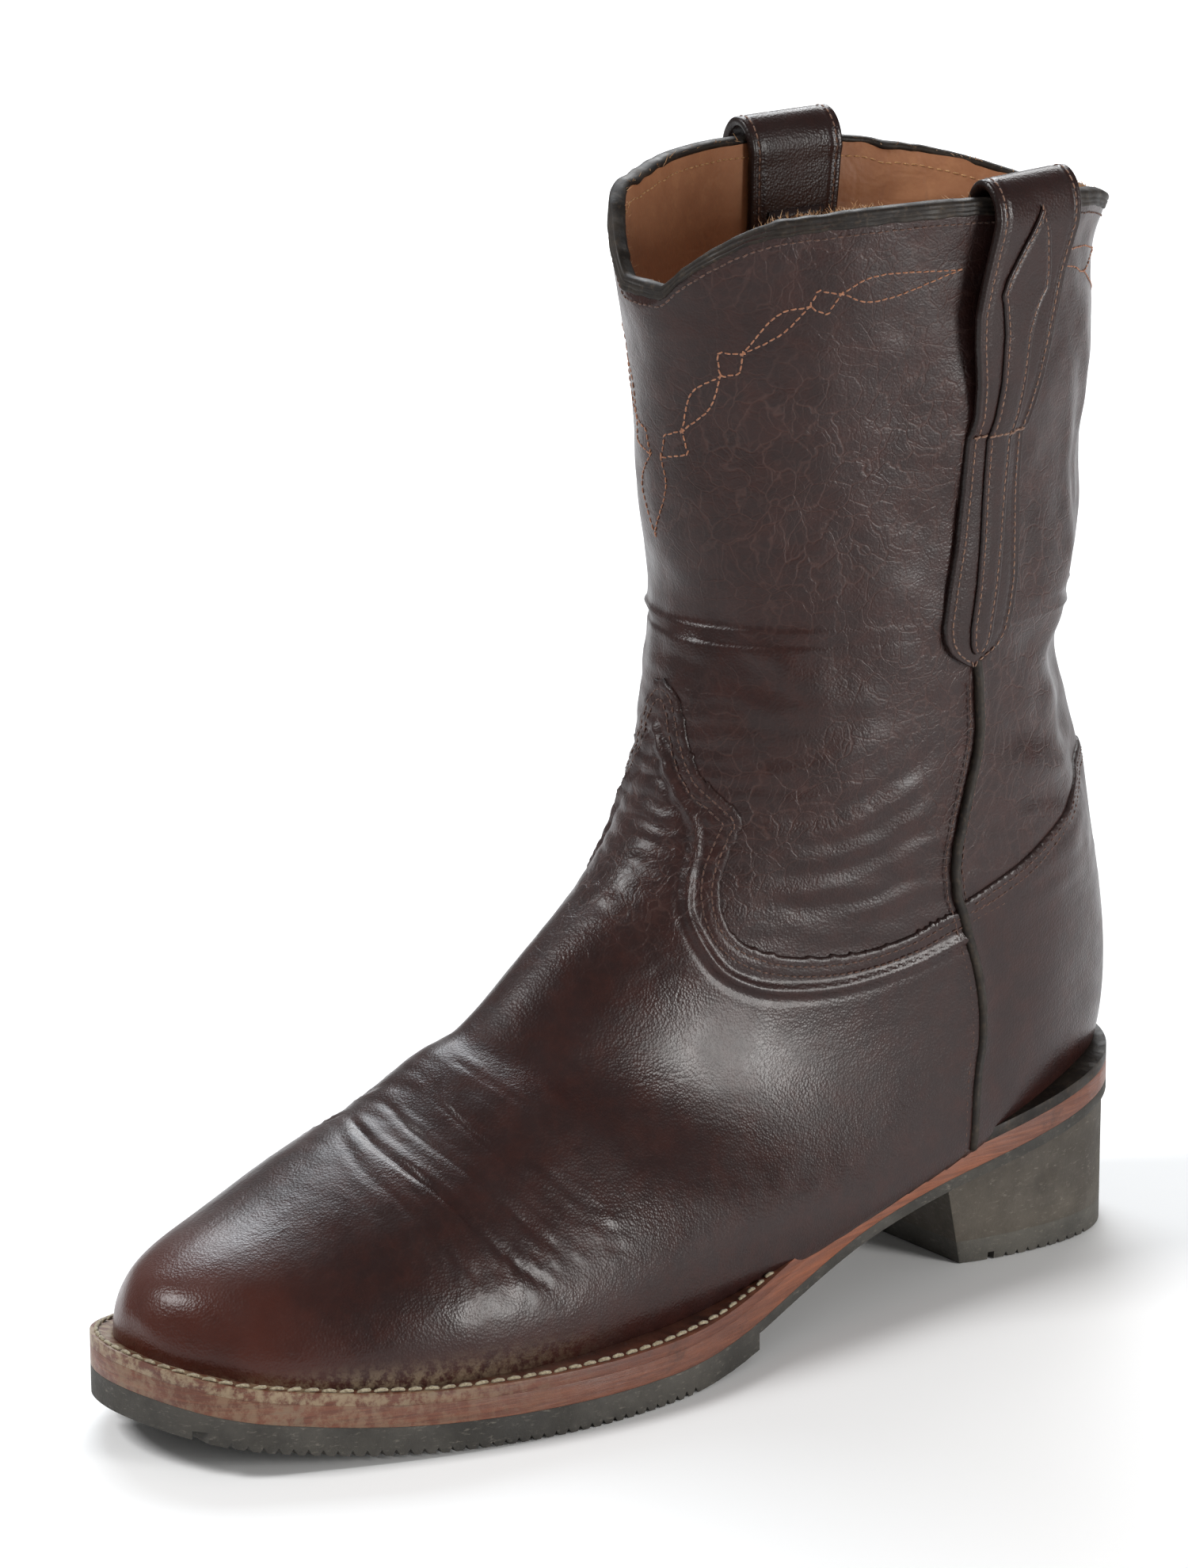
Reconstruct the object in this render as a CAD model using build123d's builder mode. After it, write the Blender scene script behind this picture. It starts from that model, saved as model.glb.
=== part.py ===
"""Left roper-style cowboy boot: leather upper, two pull straps and a welted rubber sole.

Millimetres. The origin is on the floor under the middle of the heel, +Z is up,
the toe points to -Y and the outer (lateral) side of the foot faces +X.
"""
import math
import os

from build123d import *

# ---------------------------------------------------------------- upper: driving sizes
LEATHER = 2.0            # outer leather thickness
STIFFENER = 1.1          # toe box and heel counter thickness
WALL = 4.2               # outer leather, stiffener space and lining together
BEAD_RISE = 0.9          # how far the side piping stands proud
STRAP_THICK = 2.8        # folded pull-strap leather
BINDING_DEPTH = 3.0      # dark band along the top edge
POINTS_PER_SECTION = 16

# Cross-sections of the upper, from the top of the shaft, round the ankle, out to the toe.
# Each lies in a plane through a front point and a back point of the side view:
# front y, z, back y, z, lateral x, medial x, ridge x, widest place (0 front, 1 back),
# roundness exponent of the front part and of the back part.
SECTIONS = [
    (-113.7, 300.0, 40.0, 300.0, 48.5, -48.5, 0.0, 0.52, 1.90, 1.65),
    (-111.6, 275.0, 36.5, 275.0, 48.0, -48.0, 0.0, 0.52, 1.90, 1.65),
    (-107.5, 250.0, 30.0, 250.0, 47.0, -47.0, 0.0, 0.52, 1.85, 1.70),
    (-104.7, 225.0, 28.0, 225.0, 45.5, -45.5, 0.0, 0.52, 1.85, 1.80),
    (-102.1, 200.0, 24.7, 200.0, 43.5, -43.5, 0.0, 0.52, 1.90, 1.90),
    (-99.5, 178.0, 21.0, 175.0, 42.0, -42.0, 0.0, 0.52, 2.0, 2.0),
    (-102.5, 158.0, 17.5, 152.0, 40.0, -40.0, 0.0, 0.52, 2.0, 2.0),
    (-107.2, 138.0, 25.0, 128.0, 39.0, -39.0, 0.0, 0.53, 2.0, 2.0),
    (-114.7, 121.5, 32.0, 100.0, 38.0, -38.0, -1.0, 0.58, 2.0, 2.0),
    (-127.1, 109.2, 35.2, 74.0, 36.5, -36.5, -2.0, 0.62, 2.0, 2.0),
    (-140.5, 98.7, 34.4, 48.0, 35.5, -34.0, -3.0, 0.62, 2.0, 2.0),
    (-153.1, 88.5, 18.0, 24.0, 37.0, -33.0, -3.5, 0.62, 2.0, 2.1),
    (-167.4, 79.8, -55.0, 5.0, 44.0, -34.0, -4.0, 0.62, 2.0, 2.3),
    (-183.3, 71.6, -130.0, 0.0, 50.5, -38.0, -4.0, 0.66, 2.0, 2.6),
    (-203.0, 63.4, -195.0, 0.0, 50.5, -38.5, -2.0, 0.66, 2.05, 2.8),
    (-222.0, 55.5, -222.0, 2.0, 44.5, -36.0, 0.0, 0.64, 2.1, 2.8),
    (-240.0, 49.2, -240.0, 4.0, 37.0, -30.5, 1.5, 0.62, 2.15, 2.8),
    (-252.0, 45.5, -252.0, 7.0, 30.0, -23.5, 2.5, 0.60, 2.2, 2.6),
    (-260.0, 42.1, -260.0, 10.0, 22.0, -15.5, 3.0, 0.60, 2.2, 2.4),
    (-264.5, 37.7, -264.5, 14.0, 14.5, -8.5, 3.0, 0.58, 2.2, 2.2),
    (-266.5, 33.5, -266.5, 19.0, 7.5, -1.5, 3.0, 0.55, 2.2, 2.2),
]
RUN_OUT = (75.0, 50.0, 25.0)    # the mouth section repeated above the boot, trimmed away
TOE_BLEND_Y = -222.0     # in front of this the toe wall leans back, so inner shells draw back too

# Top line of the shaft in side view: a dip at the front, high sides, a lower back.
TOP_LINE = [(-118, 246), (-113, 255), (-108.5, 265), (-101.5, 277.5), (-87, 284.5), (-68, 286),
            (-32, 284.5), (-5, 281.5), (15, 277.5), (42, 268), (56, 262)]
# Side seam between the front and back of the boot, in side view, from the top down.
SIDE_SEAM = [(-29, 300), (-31, 260), (-35, 230), (-37, 200), (-37.5, 180), (-34.5, 163),
             (-33, 146), (-36, 132), (-39.2, 118), (-38.8, 107), (-35.2, 96.5), (-29.5, 79),
             (-28, 65), (-30, 52), (-31, 36), (-31, 0)]
# Edge of the vamp: its tongue as seen from the front (x, z), then its side wings (y, z).
TONGUE_EDGE = [(0, 164), (4.5, 163), (7.5, 158), (10.7, 148), (14.4, 141.7), (19.2, 137),
               (23, 131.4), (21.6, 125), (21.1, 118), (22.1, 111), (24.7, 103.5), (28.2, 98),
               (31.5, 95), (34, 94.3), (60, 94.3)]
WING_JOIN_Y = -75.0
WING_EDGE = [(-75, 94.3), (-66, 94.2), (-52, 96.2), (-39, 99.7), (-28, 104)]
COUNTER_EDGE = [(-45, 99), (-34.5, 102.7), (-13.6, 110), (0, 116), (11, 122.5), (24, 127), (60, 129)]
LINING_EDGE = [(-150, 86), (-75, 90), (-35, 95), (0, 105), (60, 115)]
TOE_BOX_BACK_Y = -207.0
COUNTER_STIFFENER = [(-62, -5), (-66, 40), (-48, 66), (-15, 82), (60, 92), (60, -5)]

# ---------------------------------------------------------------- sole: driving sizes
# Underside of the midsole in side view, from the toe spring to the raised heel seat.
SOLE_LINE = [(-290, 23), (-273, 18.3), (-255, 13.8), (-235, 10.4), (-210, 8.1), (-180, 7.3),
             (-150, 7.3), (-125, 8.2), (-108, 10.6), (-90, 14.5), (-70, 19.6), (-50, 24.3),
             (-34, 27.7), (0, 34.2), (50, 43.2)]
MIDSOLE = 5.6
WELT = 3.0
INSOLE = 3.0
SOCK = 1.5
OUTSOLE_TREAD = 7.3
OUTSOLE_THIN = 3.0
TREAD_END_Y = -111.0
TOOTH_PITCH = 3.4
TOOTH_DEPTH = 1.3
TEETH_FRONT_Y = -262.0
TEETH_BACK_Y = -136.0
TOE_BAR_NOTCH = 2.4
HEEL_RADIUS = 34.6
# Plan outline of the welt and midsole, starting at the toe tip and going round the lateral side.
SOLE_OUTLINE = [(3, -273), (22.5, -268.3), (31.7, -262), (39.2, -248), (47.4, -227), (55.8, -200),
                (60.2, -170), (58.8, -143), (49.1, -110), (38.2, -75), (34.8, -35), (HEEL_RADIUS, 0),
                (24.5, 24.5), (0, HEEL_RADIUS), (-24.5, 24.5), (-HEEL_RADIUS, 0), (-34, -30),
                (-33, -60), (-33, -95), (-35.5, -125), (-41, -155), (-45.2, -182), (-43.6, -208),
                (-38.5, -232), (-30.5, -251), (-17, -267)]
HEEL_BREAST_TOP_Y = -34.0
HEEL_BREAST_FOOT_Y = -27.0
TOP_LIFT = 6.5
LIFT_TEETH_X = 21.0      # the teeth of the top lift run in from each side to here
NAIL_RADIUS = 1.0
NAIL_SPOTS = [(-22, -12), (22, -12), (-20, 10), (20, 10), (0, 22)]
SHANK = (13, 96, 1.4)    # width, length, thickness
STITCH_PITCH = 4.3
STITCH_LENGTH = 3.1
STITCH_WIDTH = 0.9
STITCH_HEIGHT = 0.7
STITCH_INSET = 1.6
STITCH_BACK_Y = -55.0
STITCH_BACK_Y_MEDIAL = -120.0

# ---------------------------------------------------------------- pull straps
STRAP_WIDTH = 22.0
STRAP_LEAN_DEG = 5.7     # the straps lean with the side seam
HINGE_Y, HINGE_Z = -35.5, 226.0
HINGE_X = 46.5
CROWN_Z = 291.0
TAIL_FOOT_Z = 167.5
OVERLAY_THICK = 1.0
OVERLAY_DIAMOND = [(0, 54), (6.3, 34), (3.2, 2.5), (-3.2, 2.5), (-6.3, 34)]    # across, up from the hinge
BIG = 120.0


def section_points(section, inset):
    """Closed row of points round one section, starting and ending at its back point."""
    front_y, front_z, back_y, back_z, lateral, medial, ridge, widest, front_n, back_n = section
    lean = max(0.0, (TOE_BLEND_Y - front_y) / (TOE_BLEND_Y - SECTIONS[-1][0]))
    shrink = inset * (1 - 0.7 * lean)
    front = Vector(0, front_y + lean * inset, front_z)
    chord = Vector(0, back_y - front_y, back_z - front_z)
    depth = chord.length
    front_reach = widest * depth - shrink
    back_reach = (1 - widest) * depth - shrink
    points = []
    for step in range(POINTS_PER_SECTION + 1):
        angle = math.pi + 2 * math.pi * step / POINTS_PER_SECTION
        cosine, sine = math.cos(angle), math.sin(angle)
        power = 2 / (front_n if cosine >= 0 else back_n)
        along = math.copysign(abs(cosine) ** power, cosine)
        across = math.copysign(abs(sine) ** power, sine)
        reach = front_reach if along >= 0 else back_reach
        width = (lateral - ridge) if across >= 0 else (ridge - medial)
        down = (widest * depth - reach * along) / depth
        points.append(front + chord * down + Vector(ridge + (width - shrink) * across, 0, 0))
    points[-1] = points[0]
    return points


def foot_form(inset):
    """Closed solid whose skin lies `inset` inside the outer leather (outside it if negative)."""
    mouth = SECTIONS[0]
    above = [(mouth[0], mouth[1] + rise, mouth[2], mouth[3] + rise) + mouth[4:] for rise in RUN_OUT]
    rows = [section_points(section, inset) for section in above + SECTIONS]
    skin = Face.make_surface_from_array_of_points(rows, tol=0.02, min_deg=3, max_deg=3)
    ends = [Face(Wire([edge])) for edge in skin.edges() if edge.is_closed]
    return Solid(Shell([skin] + ends))


def side_zone(edge, corners):
    """Slab across the whole boot whose side view is a spline edge closed by straight corners."""
    with BuildPart() as zone:
        with BuildSketch(Plane.YZ):
            with BuildLine():
                Spline(*edge)
                Polyline(edge[-1], *corners, edge[0])
            make_face()
        extrude(amount=BIG, both=True)
    return zone.part


def arc_chain(points):
    """Arcs end to end, each through three points of the row, drawn into the open line."""
    for first in range(0, len(points) - 2, 2):
        ThreePointArc(*points[first:first + 3])


def slab_by(edge, far_z):
    """Slab across the whole boot between a side-view arc chain and the level far_z."""
    with BuildPart() as zone:
        with BuildSketch(Plane.YZ):
            with BuildLine():
                arc_chain(edge)
                Polyline(edge[-1], (edge[-1][0], far_z), (-400, far_z), (-400, edge[0][1]), edge[0])
            make_face()
        extrude(amount=BIG, both=True)
    return zone.part


def polygon_zone(corners):
    """Slab across the whole boot with a straight-sided side view."""
    with BuildPart() as zone:
        with BuildSketch(Plane.YZ):
            with BuildLine():
                Polyline(*corners, close=True)
            make_face()
        extrude(amount=BIG, both=True)
    return zone.part


def lifted(edge, rise):
    """A side-view edge moved straight up."""
    return [(y, z + rise) for y, z in edge]


def sole_layer(low, high):
    """Slab between two heights above the underside of the midsole, over the whole sole."""
    with BuildPart() as layer:
        with BuildSketch(Plane.YZ):
            with BuildLine():
                arc_chain(lifted(SOLE_LINE, low))
                Line((SOLE_LINE[-1][0], SOLE_LINE[-1][1] + low), (SOLE_LINE[-1][0], SOLE_LINE[-1][1] + high))
                arc_chain(lifted(SOLE_LINE, high))
                Line((SOLE_LINE[0][0], SOLE_LINE[0][1] + high), (SOLE_LINE[0][0], SOLE_LINE[0][1] + low))
            make_face()
        extrude(amount=BIG, both=True)
    return layer.part


def sole_plan():
    """Tall prism with the plan outline of the sole."""
    with BuildPart() as prism:
        with BuildSketch(Plane.XY.offset(-10)):
            with BuildLine():
                Spline(*SOLE_OUTLINE, periodic=True)
            make_face()
        extrude(amount=90)
    return prism.part


def seam_z_to_y(z):
    """Y of the side seam at height z, by straight steps between its points."""
    for (y1, z1), (y2, z2) in zip(SIDE_SEAM, SIDE_SEAM[1:]):
        if z2 <= z <= z1:
            return y2 + (y1 - y2) * (z - z2) / (z1 - z2)
    return SIDE_SEAM[-1][0]


# ---------------------------------------------------------------- shared forms and zones
bead_form = foot_form(-BEAD_RISE)
outer_form = foot_form(0.0)
leather_form = foot_form(LEATHER)
stiffener_form = foot_form(LEATHER + STIFFENER)
cavity_form = foot_form(WALL)
strap_form = foot_form(-STRAP_THICK)
overlay_form = foot_form(-STRAP_THICK - OVERLAY_THICK)

front_half = side_zone(SIDE_SEAM, [(-400, 0), (-400, 300)])
back_half = side_zone(SIDE_SEAM, [(120, 0), (120, 300)])
below_top = slab_by(TOP_LINE, -20)
below_binding = slab_by(lifted(TOP_LINE, -BINDING_DEPTH), -20)
above_midsole = slab_by(lifted(SOLE_LINE, MIDSOLE), 330)
above_welt = slab_by(lifted(SOLE_LINE, MIDSOLE + WELT + 0.2), 330)
under_outsole = slab_by(lifted(SOLE_LINE, -OUTSOLE_THIN), -40)

with BuildPart() as vamp_zone:
    with BuildSketch(Plane.XZ.offset(-WING_JOIN_Y)):
        with BuildLine():
            Spline(*TONGUE_EDGE[:7])
            Spline(*TONGUE_EDGE[6:14])
            Polyline(TONGUE_EDGE[13], TONGUE_EDGE[14], (60, -20), (0, -20), TONGUE_EDGE[0])
        make_face()
        mirror(about=Plane.YZ)
    extrude(amount=260)
    add(side_zone(WING_EDGE, [(-28, -20), (-75, -20)]))
vamp_zone = vamp_zone.part

counter_zone = side_zone(COUNTER_EDGE, [(60, -20), (-45, -20)])
foot_zone = side_zone(LINING_EDGE, [(60, -20), (-400, -20), (-400, 86)])
toe_box_zone = polygon_zone([(TOE_BOX_BACK_Y, -5), (TOE_BOX_BACK_Y + 9, 90), (-300, 90), (-300, -5)])
counter_stiffener_zone = polygon_zone(COUNTER_STIFFENER)

with BuildPart() as leather_wall:
    add(outer_form)
    add(leather_form, mode=Mode.SUBTRACT)
    add(above_midsole, mode=Mode.INTERSECT)
    add(below_top, mode=Mode.INTERSECT)
leather_wall = leather_wall.part

with BuildPart() as lining_wall:
    add(leather_form)
    add(cavity_form, mode=Mode.SUBTRACT)
    add(above_midsole, mode=Mode.INTERSECT)
    add(below_top, mode=Mode.INTERSECT)
lining_wall = lining_wall.part

with BuildPart() as stiffener_wall:
    add(leather_form)
    add(stiffener_form, mode=Mode.SUBTRACT)
    add(above_midsole, mode=Mode.INTERSECT)
stiffener_wall = stiffener_wall.part


# ---------------------------------------------------------------- side piping
# A bead of folded leather sewn into each side seam, from the strap's foot down to the welt.
def piping(side):
    """The raised strip in the seam on one side: +1 lateral, -1 medial."""
    half_width = 1.3
    seam = [point for point in SIDE_SEAM if point[1] < TAIL_FOOT_Z]
    front_edge = [(y - half_width, z) for y, z in seam]
    back_edge = [(y + half_width, z) for y, z in reversed(seam)]
    with BuildPart() as strip:
        with BuildSketch(Plane.YZ):
            with BuildLine():
                Spline(*front_edge)
                Line(front_edge[-1], back_edge[0])
                Spline(*back_edge)
                Line(back_edge[-1], front_edge[0])
            make_face()
        extrude(amount=BIG * side)
        add(bead_form, mode=Mode.INTERSECT)
        add(leather_form, mode=Mode.SUBTRACT)
        add(above_welt, mode=Mode.INTERSECT)
    return strip.part


piping_lateral = piping(1)
piping_medial = piping(-1)

# ---------------------------------------------------------------- outer leather panels
with BuildPart() as vamp:
    add(leather_wall)
    add(front_half, mode=Mode.INTERSECT)
    add(vamp_zone, mode=Mode.INTERSECT)
    add(piping_lateral, mode=Mode.SUBTRACT)
    add(piping_medial, mode=Mode.SUBTRACT)

with BuildPart() as shaft_front_panel:
    add(leather_wall)
    add(front_half, mode=Mode.INTERSECT)
    add(below_binding, mode=Mode.INTERSECT)
    add(vamp_zone, mode=Mode.SUBTRACT)
    add(piping_lateral, mode=Mode.SUBTRACT)
    add(piping_medial, mode=Mode.SUBTRACT)

with BuildPart() as heel_counter_cover:
    add(leather_wall)
    add(back_half, mode=Mode.INTERSECT)
    add(counter_zone, mode=Mode.INTERSECT)
    add(piping_lateral, mode=Mode.SUBTRACT)
    add(piping_medial, mode=Mode.SUBTRACT)

with BuildPart() as shaft_back_panel:
    add(leather_wall)
    add(back_half, mode=Mode.INTERSECT)
    add(below_binding, mode=Mode.INTERSECT)
    add(counter_zone, mode=Mode.SUBTRACT)
    add(piping_lateral, mode=Mode.SUBTRACT)
    add(piping_medial, mode=Mode.SUBTRACT)

# Dark band folded over the top edge of each shaft panel.
with BuildPart() as top_binding_front:
    add(leather_wall)
    add(front_half, mode=Mode.INTERSECT)
    add(below_binding, mode=Mode.SUBTRACT)

with BuildPart() as top_binding_back:
    add(leather_wall)
    add(back_half, mode=Mode.INTERSECT)
    add(below_binding, mode=Mode.SUBTRACT)

# ---------------------------------------------------------------- stiffeners and linings
with BuildPart() as toe_box:
    add(stiffener_wall)
    add(toe_box_zone, mode=Mode.INTERSECT)

with BuildPart() as heel_counter:
    add(stiffener_wall)
    add(counter_stiffener_zone, mode=Mode.INTERSECT)

with BuildPart() as vamp_lining:
    add(lining_wall)
    add(foot_zone, mode=Mode.INTERSECT)
    add(toe_box.part, mode=Mode.SUBTRACT)
    add(heel_counter.part, mode=Mode.SUBTRACT)

with BuildPart() as shaft_lining_front:
    add(lining_wall)
    add(foot_zone, mode=Mode.SUBTRACT)
    add(front_half, mode=Mode.INTERSECT)

with BuildPart() as shaft_lining_back:
    add(lining_wall)
    add(foot_zone, mode=Mode.SUBTRACT)
    add(back_half, mode=Mode.INTERSECT)

# ---------------------------------------------------------------- inside the foot
with BuildPart() as shank:
    with BuildSketch(Plane.YZ):
        with BuildLine():
            arc_chain(lifted(SOLE_LINE[5:14], MIDSOLE + 0.1))
            Line((0, 34.2 + MIDSOLE + 0.1), (0, 34.2 + MIDSOLE + 0.1 + SHANK[2]))
            arc_chain(lifted(SOLE_LINE[5:14], MIDSOLE + 0.1 + SHANK[2]))
            Line((-180, 7.3 + MIDSOLE + 0.1 + SHANK[2]), (-180, 7.3 + MIDSOLE + 0.1))
        make_face()
    extrude(amount=SHANK[0] / 2, both=True)
    with BuildSketch(Plane.XY):
        with Locations((0, -70)):
            SlotOverall(SHANK[1], SHANK[0], rotation=90)
    extrude(amount=80, mode=Mode.INTERSECT)

with BuildPart() as cork_filler:
    add(cavity_form)
    add(sole_layer(MIDSOLE, MIDSOLE + WELT), mode=Mode.INTERSECT)
    add(shank.part, mode=Mode.SUBTRACT)
    with Locations(*[(x, y, 40) for x, y in NAIL_SPOTS]):
        Cylinder(NAIL_RADIUS, 100, mode=Mode.SUBTRACT)

with BuildPart() as insole:
    add(cavity_form)
    add(sole_layer(MIDSOLE + WELT, MIDSOLE + WELT + INSOLE), mode=Mode.INTERSECT)

with BuildPart() as sock_lining:
    add(cavity_form)
    add(sole_layer(MIDSOLE + WELT + INSOLE, MIDSOLE + WELT + INSOLE + SOCK), mode=Mode.INTERSECT)

# ---------------------------------------------------------------- welt, rand and midsole
with BuildPart() as welt_ring:
    add(sole_plan())
    add(sole_layer(MIDSOLE, MIDSOLE + WELT), mode=Mode.INTERSECT)
    add(outer_form, mode=Mode.SUBTRACT)

with BuildPart() as welt:
    add(welt_ring.part)
    with Locations((0, HEEL_BREAST_TOP_Y + 200, 0)):
        Box(300, 400, 200, mode=Mode.SUBTRACT)

with BuildPart() as heel_rand:
    add(welt_ring.part)
    with Locations((0, HEEL_BREAST_TOP_Y - 200, 0)):
        Box(300, 400, 200, mode=Mode.SUBTRACT)

with BuildPart() as midsole:
    add(sole_plan())
    add(sole_layer(0, MIDSOLE), mode=Mode.INTERSECT)
    with Locations(*[(x, y, 40) for x, y in NAIL_SPOTS]):
        Cylinder(NAIL_RADIUS, 100, mode=Mode.SUBTRACT)


# ---------------------------------------------------------------- lockstitch on the welt
def welt_height(y):
    """Top of the welt at y, by straight steps between the sole-line points."""
    for (y1, z1), (y2, z2) in zip(SOLE_LINE, SOLE_LINE[1:]):
        if y1 <= y <= y2:
            return z1 + (z2 - z1) * (y - y1) / (y2 - y1) + MIDSOLE + WELT
    return SOLE_LINE[-1][1] + MIDSOLE + WELT


with BuildLine(mode=Mode.PRIVATE) as outline_line:
    Spline(*SOLE_OUTLINE, periodic=True)
outline = outline_line.line.edges()[0]
stitch_count = int(outline.length / STITCH_PITCH)
stitch_places = []
for stitch in range(stitch_count):
    spot = outline.position_at((stitch + 0.5) / stitch_count)
    along = outline.tangent_at((stitch + 0.5) / stitch_count)
    if spot.Y < STITCH_BACK_Y and not (spot.X < 0 and spot.Y > STITCH_BACK_Y_MEDIAL):
        inward = Vector(-along.Y, along.X, 0)
        centre = spot + inward * STITCH_INSET
        angle = math.degrees(math.atan2(along.Y, along.X))
        stitch_places.append(Location((centre.X, centre.Y, welt_height(centre.Y) + 0.65), (0, 0, angle)))

with BuildPart() as welt_stitches:
    with Locations(*stitch_places):
        Box(STITCH_LENGTH, STITCH_WIDTH, STITCH_HEIGHT)
    add(outer_form, mode=Mode.SUBTRACT)
    full_volume = STITCH_LENGTH * STITCH_WIDTH * STITCH_HEIGHT
    trimmed = welt_stitches.solids().filter_by(lambda stitch: stitch.volume < 0.99 * full_volume)
    add(trimmed, mode=Mode.SUBTRACT)

# ---------------------------------------------------------------- rubber outsole
# Thick tread under the forefoot with a toothed edge and a toe bar, thin through the waist and heel.
tooth_count = int((TEETH_BACK_Y - TEETH_FRONT_Y) / TOOTH_PITCH)


def tread_height(y):
    """Bottom of the thick tread at y."""
    return welt_height(y) - WELT - MIDSOLE - OUTSOLE_TREAD


def tread_profile():
    """Side view of the gaps cut into the bottom of the tread, as small triangles."""
    gaps = []
    for tooth in range(tooth_count):
        middle = TEETH_FRONT_Y + (tooth + 0.5) * TOOTH_PITCH
        base = tread_height(middle)
        gaps.append([(middle - TOOTH_PITCH * 0.42, base - 1.0), (middle, base + TOOTH_DEPTH),
                     (middle + TOOTH_PITCH * 0.42, base - 1.0)])
    return gaps


with BuildPart() as waist_gap:
    add(under_outsole)
    with Locations((0, TREAD_END_Y - 200, 0)):
        Box(300, 400, 200, mode=Mode.SUBTRACT)

with BuildPart() as outsole:
    add(sole_plan())
    add(sole_layer(-OUTSOLE_TREAD, 0), mode=Mode.INTERSECT)
    add(waist_gap.part, mode=Mode.SUBTRACT)
    with BuildSketch(Plane.YZ):
        for gap in tread_profile():
            with BuildLine():
                Polyline(*gap, close=True)
            make_face()
        with Locations((TEETH_FRONT_Y - 3.4, tread_height(TEETH_FRONT_Y - 3.4))):
            Rectangle(TOE_BAR_NOTCH, 5.0)
    extrude(amount=BIG, both=True, mode=Mode.SUBTRACT)
    with Locations(*[(x, y, 40) for x, y in NAIL_SPOTS]):
        Cylinder(NAIL_RADIUS, 100, mode=Mode.SUBTRACT)


# ---------------------------------------------------------------- stacked heel
def heel_outline(half_breast, half_mid, back_radius, breast_y, height):
    """D-shaped plan of the heel at one height."""
    with BuildSketch(Plane.XY.offset(height)) as plan:
        with BuildLine():
            Line((-half_breast, breast_y), (half_breast, breast_y))
            Spline((half_breast, breast_y), (half_mid, -6), (back_radius * 0.76, back_radius * 0.62),
                   (0, back_radius), (-back_radius * 0.76, back_radius * 0.62), (-half_mid, -6),
                   (-half_breast, breast_y))
        make_face()
    return plan.sketch


with BuildPart() as heel_stack:
    add(heel_outline(27.0, 31.0, 33.6, HEEL_BREAST_FOOT_Y, 0))
    add(heel_outline(33.0, 33.6, 34.2, HEEL_BREAST_TOP_Y - 6, 45))
    loft()
    add(under_outsole, mode=Mode.INTERSECT)

with BuildPart() as heel_block:
    add(heel_stack.part)
    with Locations((0, 0, TOP_LIFT - 50)):
        Box(200, 200, 100, mode=Mode.SUBTRACT)
    with Locations(*[(x, y, 45) for x, y in NAIL_SPOTS]):
        Cylinder(NAIL_RADIUS, 60, mode=Mode.SUBTRACT)

with BuildPart() as heel_top_lift:
    add(heel_stack.part)
    with Locations((0, 0, TOP_LIFT + 50)):
        Box(200, 200, 100, mode=Mode.SUBTRACT)
    for side in (1, -1):
        with BuildSketch(Plane.YZ.offset(side * LIFT_TEETH_X)):
            with Locations(*[(-14 + TOOTH_PITCH * step, 0) for step in range(9)]):
                Polygon((-1.2, -1.0), (0, TOOTH_DEPTH), (1.2, -1.0), align=None)
            with Locations((-18.5, 0)):
                Rectangle(1.8, 4.0)
        extrude(amount=side * BIG, mode=Mode.SUBTRACT)

with BuildPart() as heel_nails:
    with Locations(*[(x, y, 40) for x, y in NAIL_SPOTS]):
        Cylinder(NAIL_RADIUS, 90)
    add(sole_layer(-20, MIDSOLE - 0.5), mode=Mode.INTERSECT)
    with Locations((0, 0, 15 - 50)):
        Box(200, 200, 100, mode=Mode.SUBTRACT)


# ---------------------------------------------------------------- pull straps
# Each strap is a folded loop over the top edge. Its free loop sways about the tack line;
# the tail below the tack is sewn flat to the shaft and covers the seam down to a point.
LEAN = math.radians(STRAP_LEAN_DEG)
STRAP_PLANE = Plane(origin=(0, HINGE_Y, HINGE_Z), x_dir=(1, 0, 0),
                    z_dir=(0, -math.cos(LEAN), math.sin(LEAN)))
OUTER_LEG = [(48.0, 1.5), (49.1, 12), (50.9, 30), (52.5, 46), (52.9, 56.5)]
INNER_LEG = [(37.6, 56.5), (37.2, 46), (36.5, 30), (35.6, 14)]
CROWN_TOP = (45.8, CROWN_Z - HINGE_Z - STRAP_THICK)


def strap_loop(side):
    """Free loop of one strap: outer leg, crown and inner leg in one bent strip."""
    inner = [(side * x, up) for x, up in OUTER_LEG] + [(side * CROWN_TOP[0], CROWN_TOP[1])]
    inner += [(side * x, up) for x, up in INNER_LEG]
    with BuildPart() as loop:
        with BuildSketch(STRAP_PLANE):
            with BuildLine() as path:
                Spline(*inner)
            trace(line_width=STRAP_THICK)
        extrude(amount=STRAP_WIDTH / 2, both=True)
    return loop.part


def strap_tail(side):
    """Sewn tail of one strap: lies on the outer leather, flares a little and ends in a point."""
    top_z = HINGE_Z - 1.0
    shoulder_z = TAIL_FOOT_Z + 9
    shoulder_y = seam_z_to_y(shoulder_z)
    with BuildPart() as tail:
        with BuildSketch(Plane.YZ):
            with BuildLine():
                Polyline((HINGE_Y - 9.5, top_z), (shoulder_y - 10.6, shoulder_z),
                         (shoulder_y, TAIL_FOOT_Z), (shoulder_y + 10.6, shoulder_z),
                         (HINGE_Y + 9.5, top_z), close=True)
            make_face()
        extrude(amount=BIG * side)
        add(strap_form, mode=Mode.INTERSECT)
        add(outer_form, mode=Mode.SUBTRACT)
    return tail.part


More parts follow.
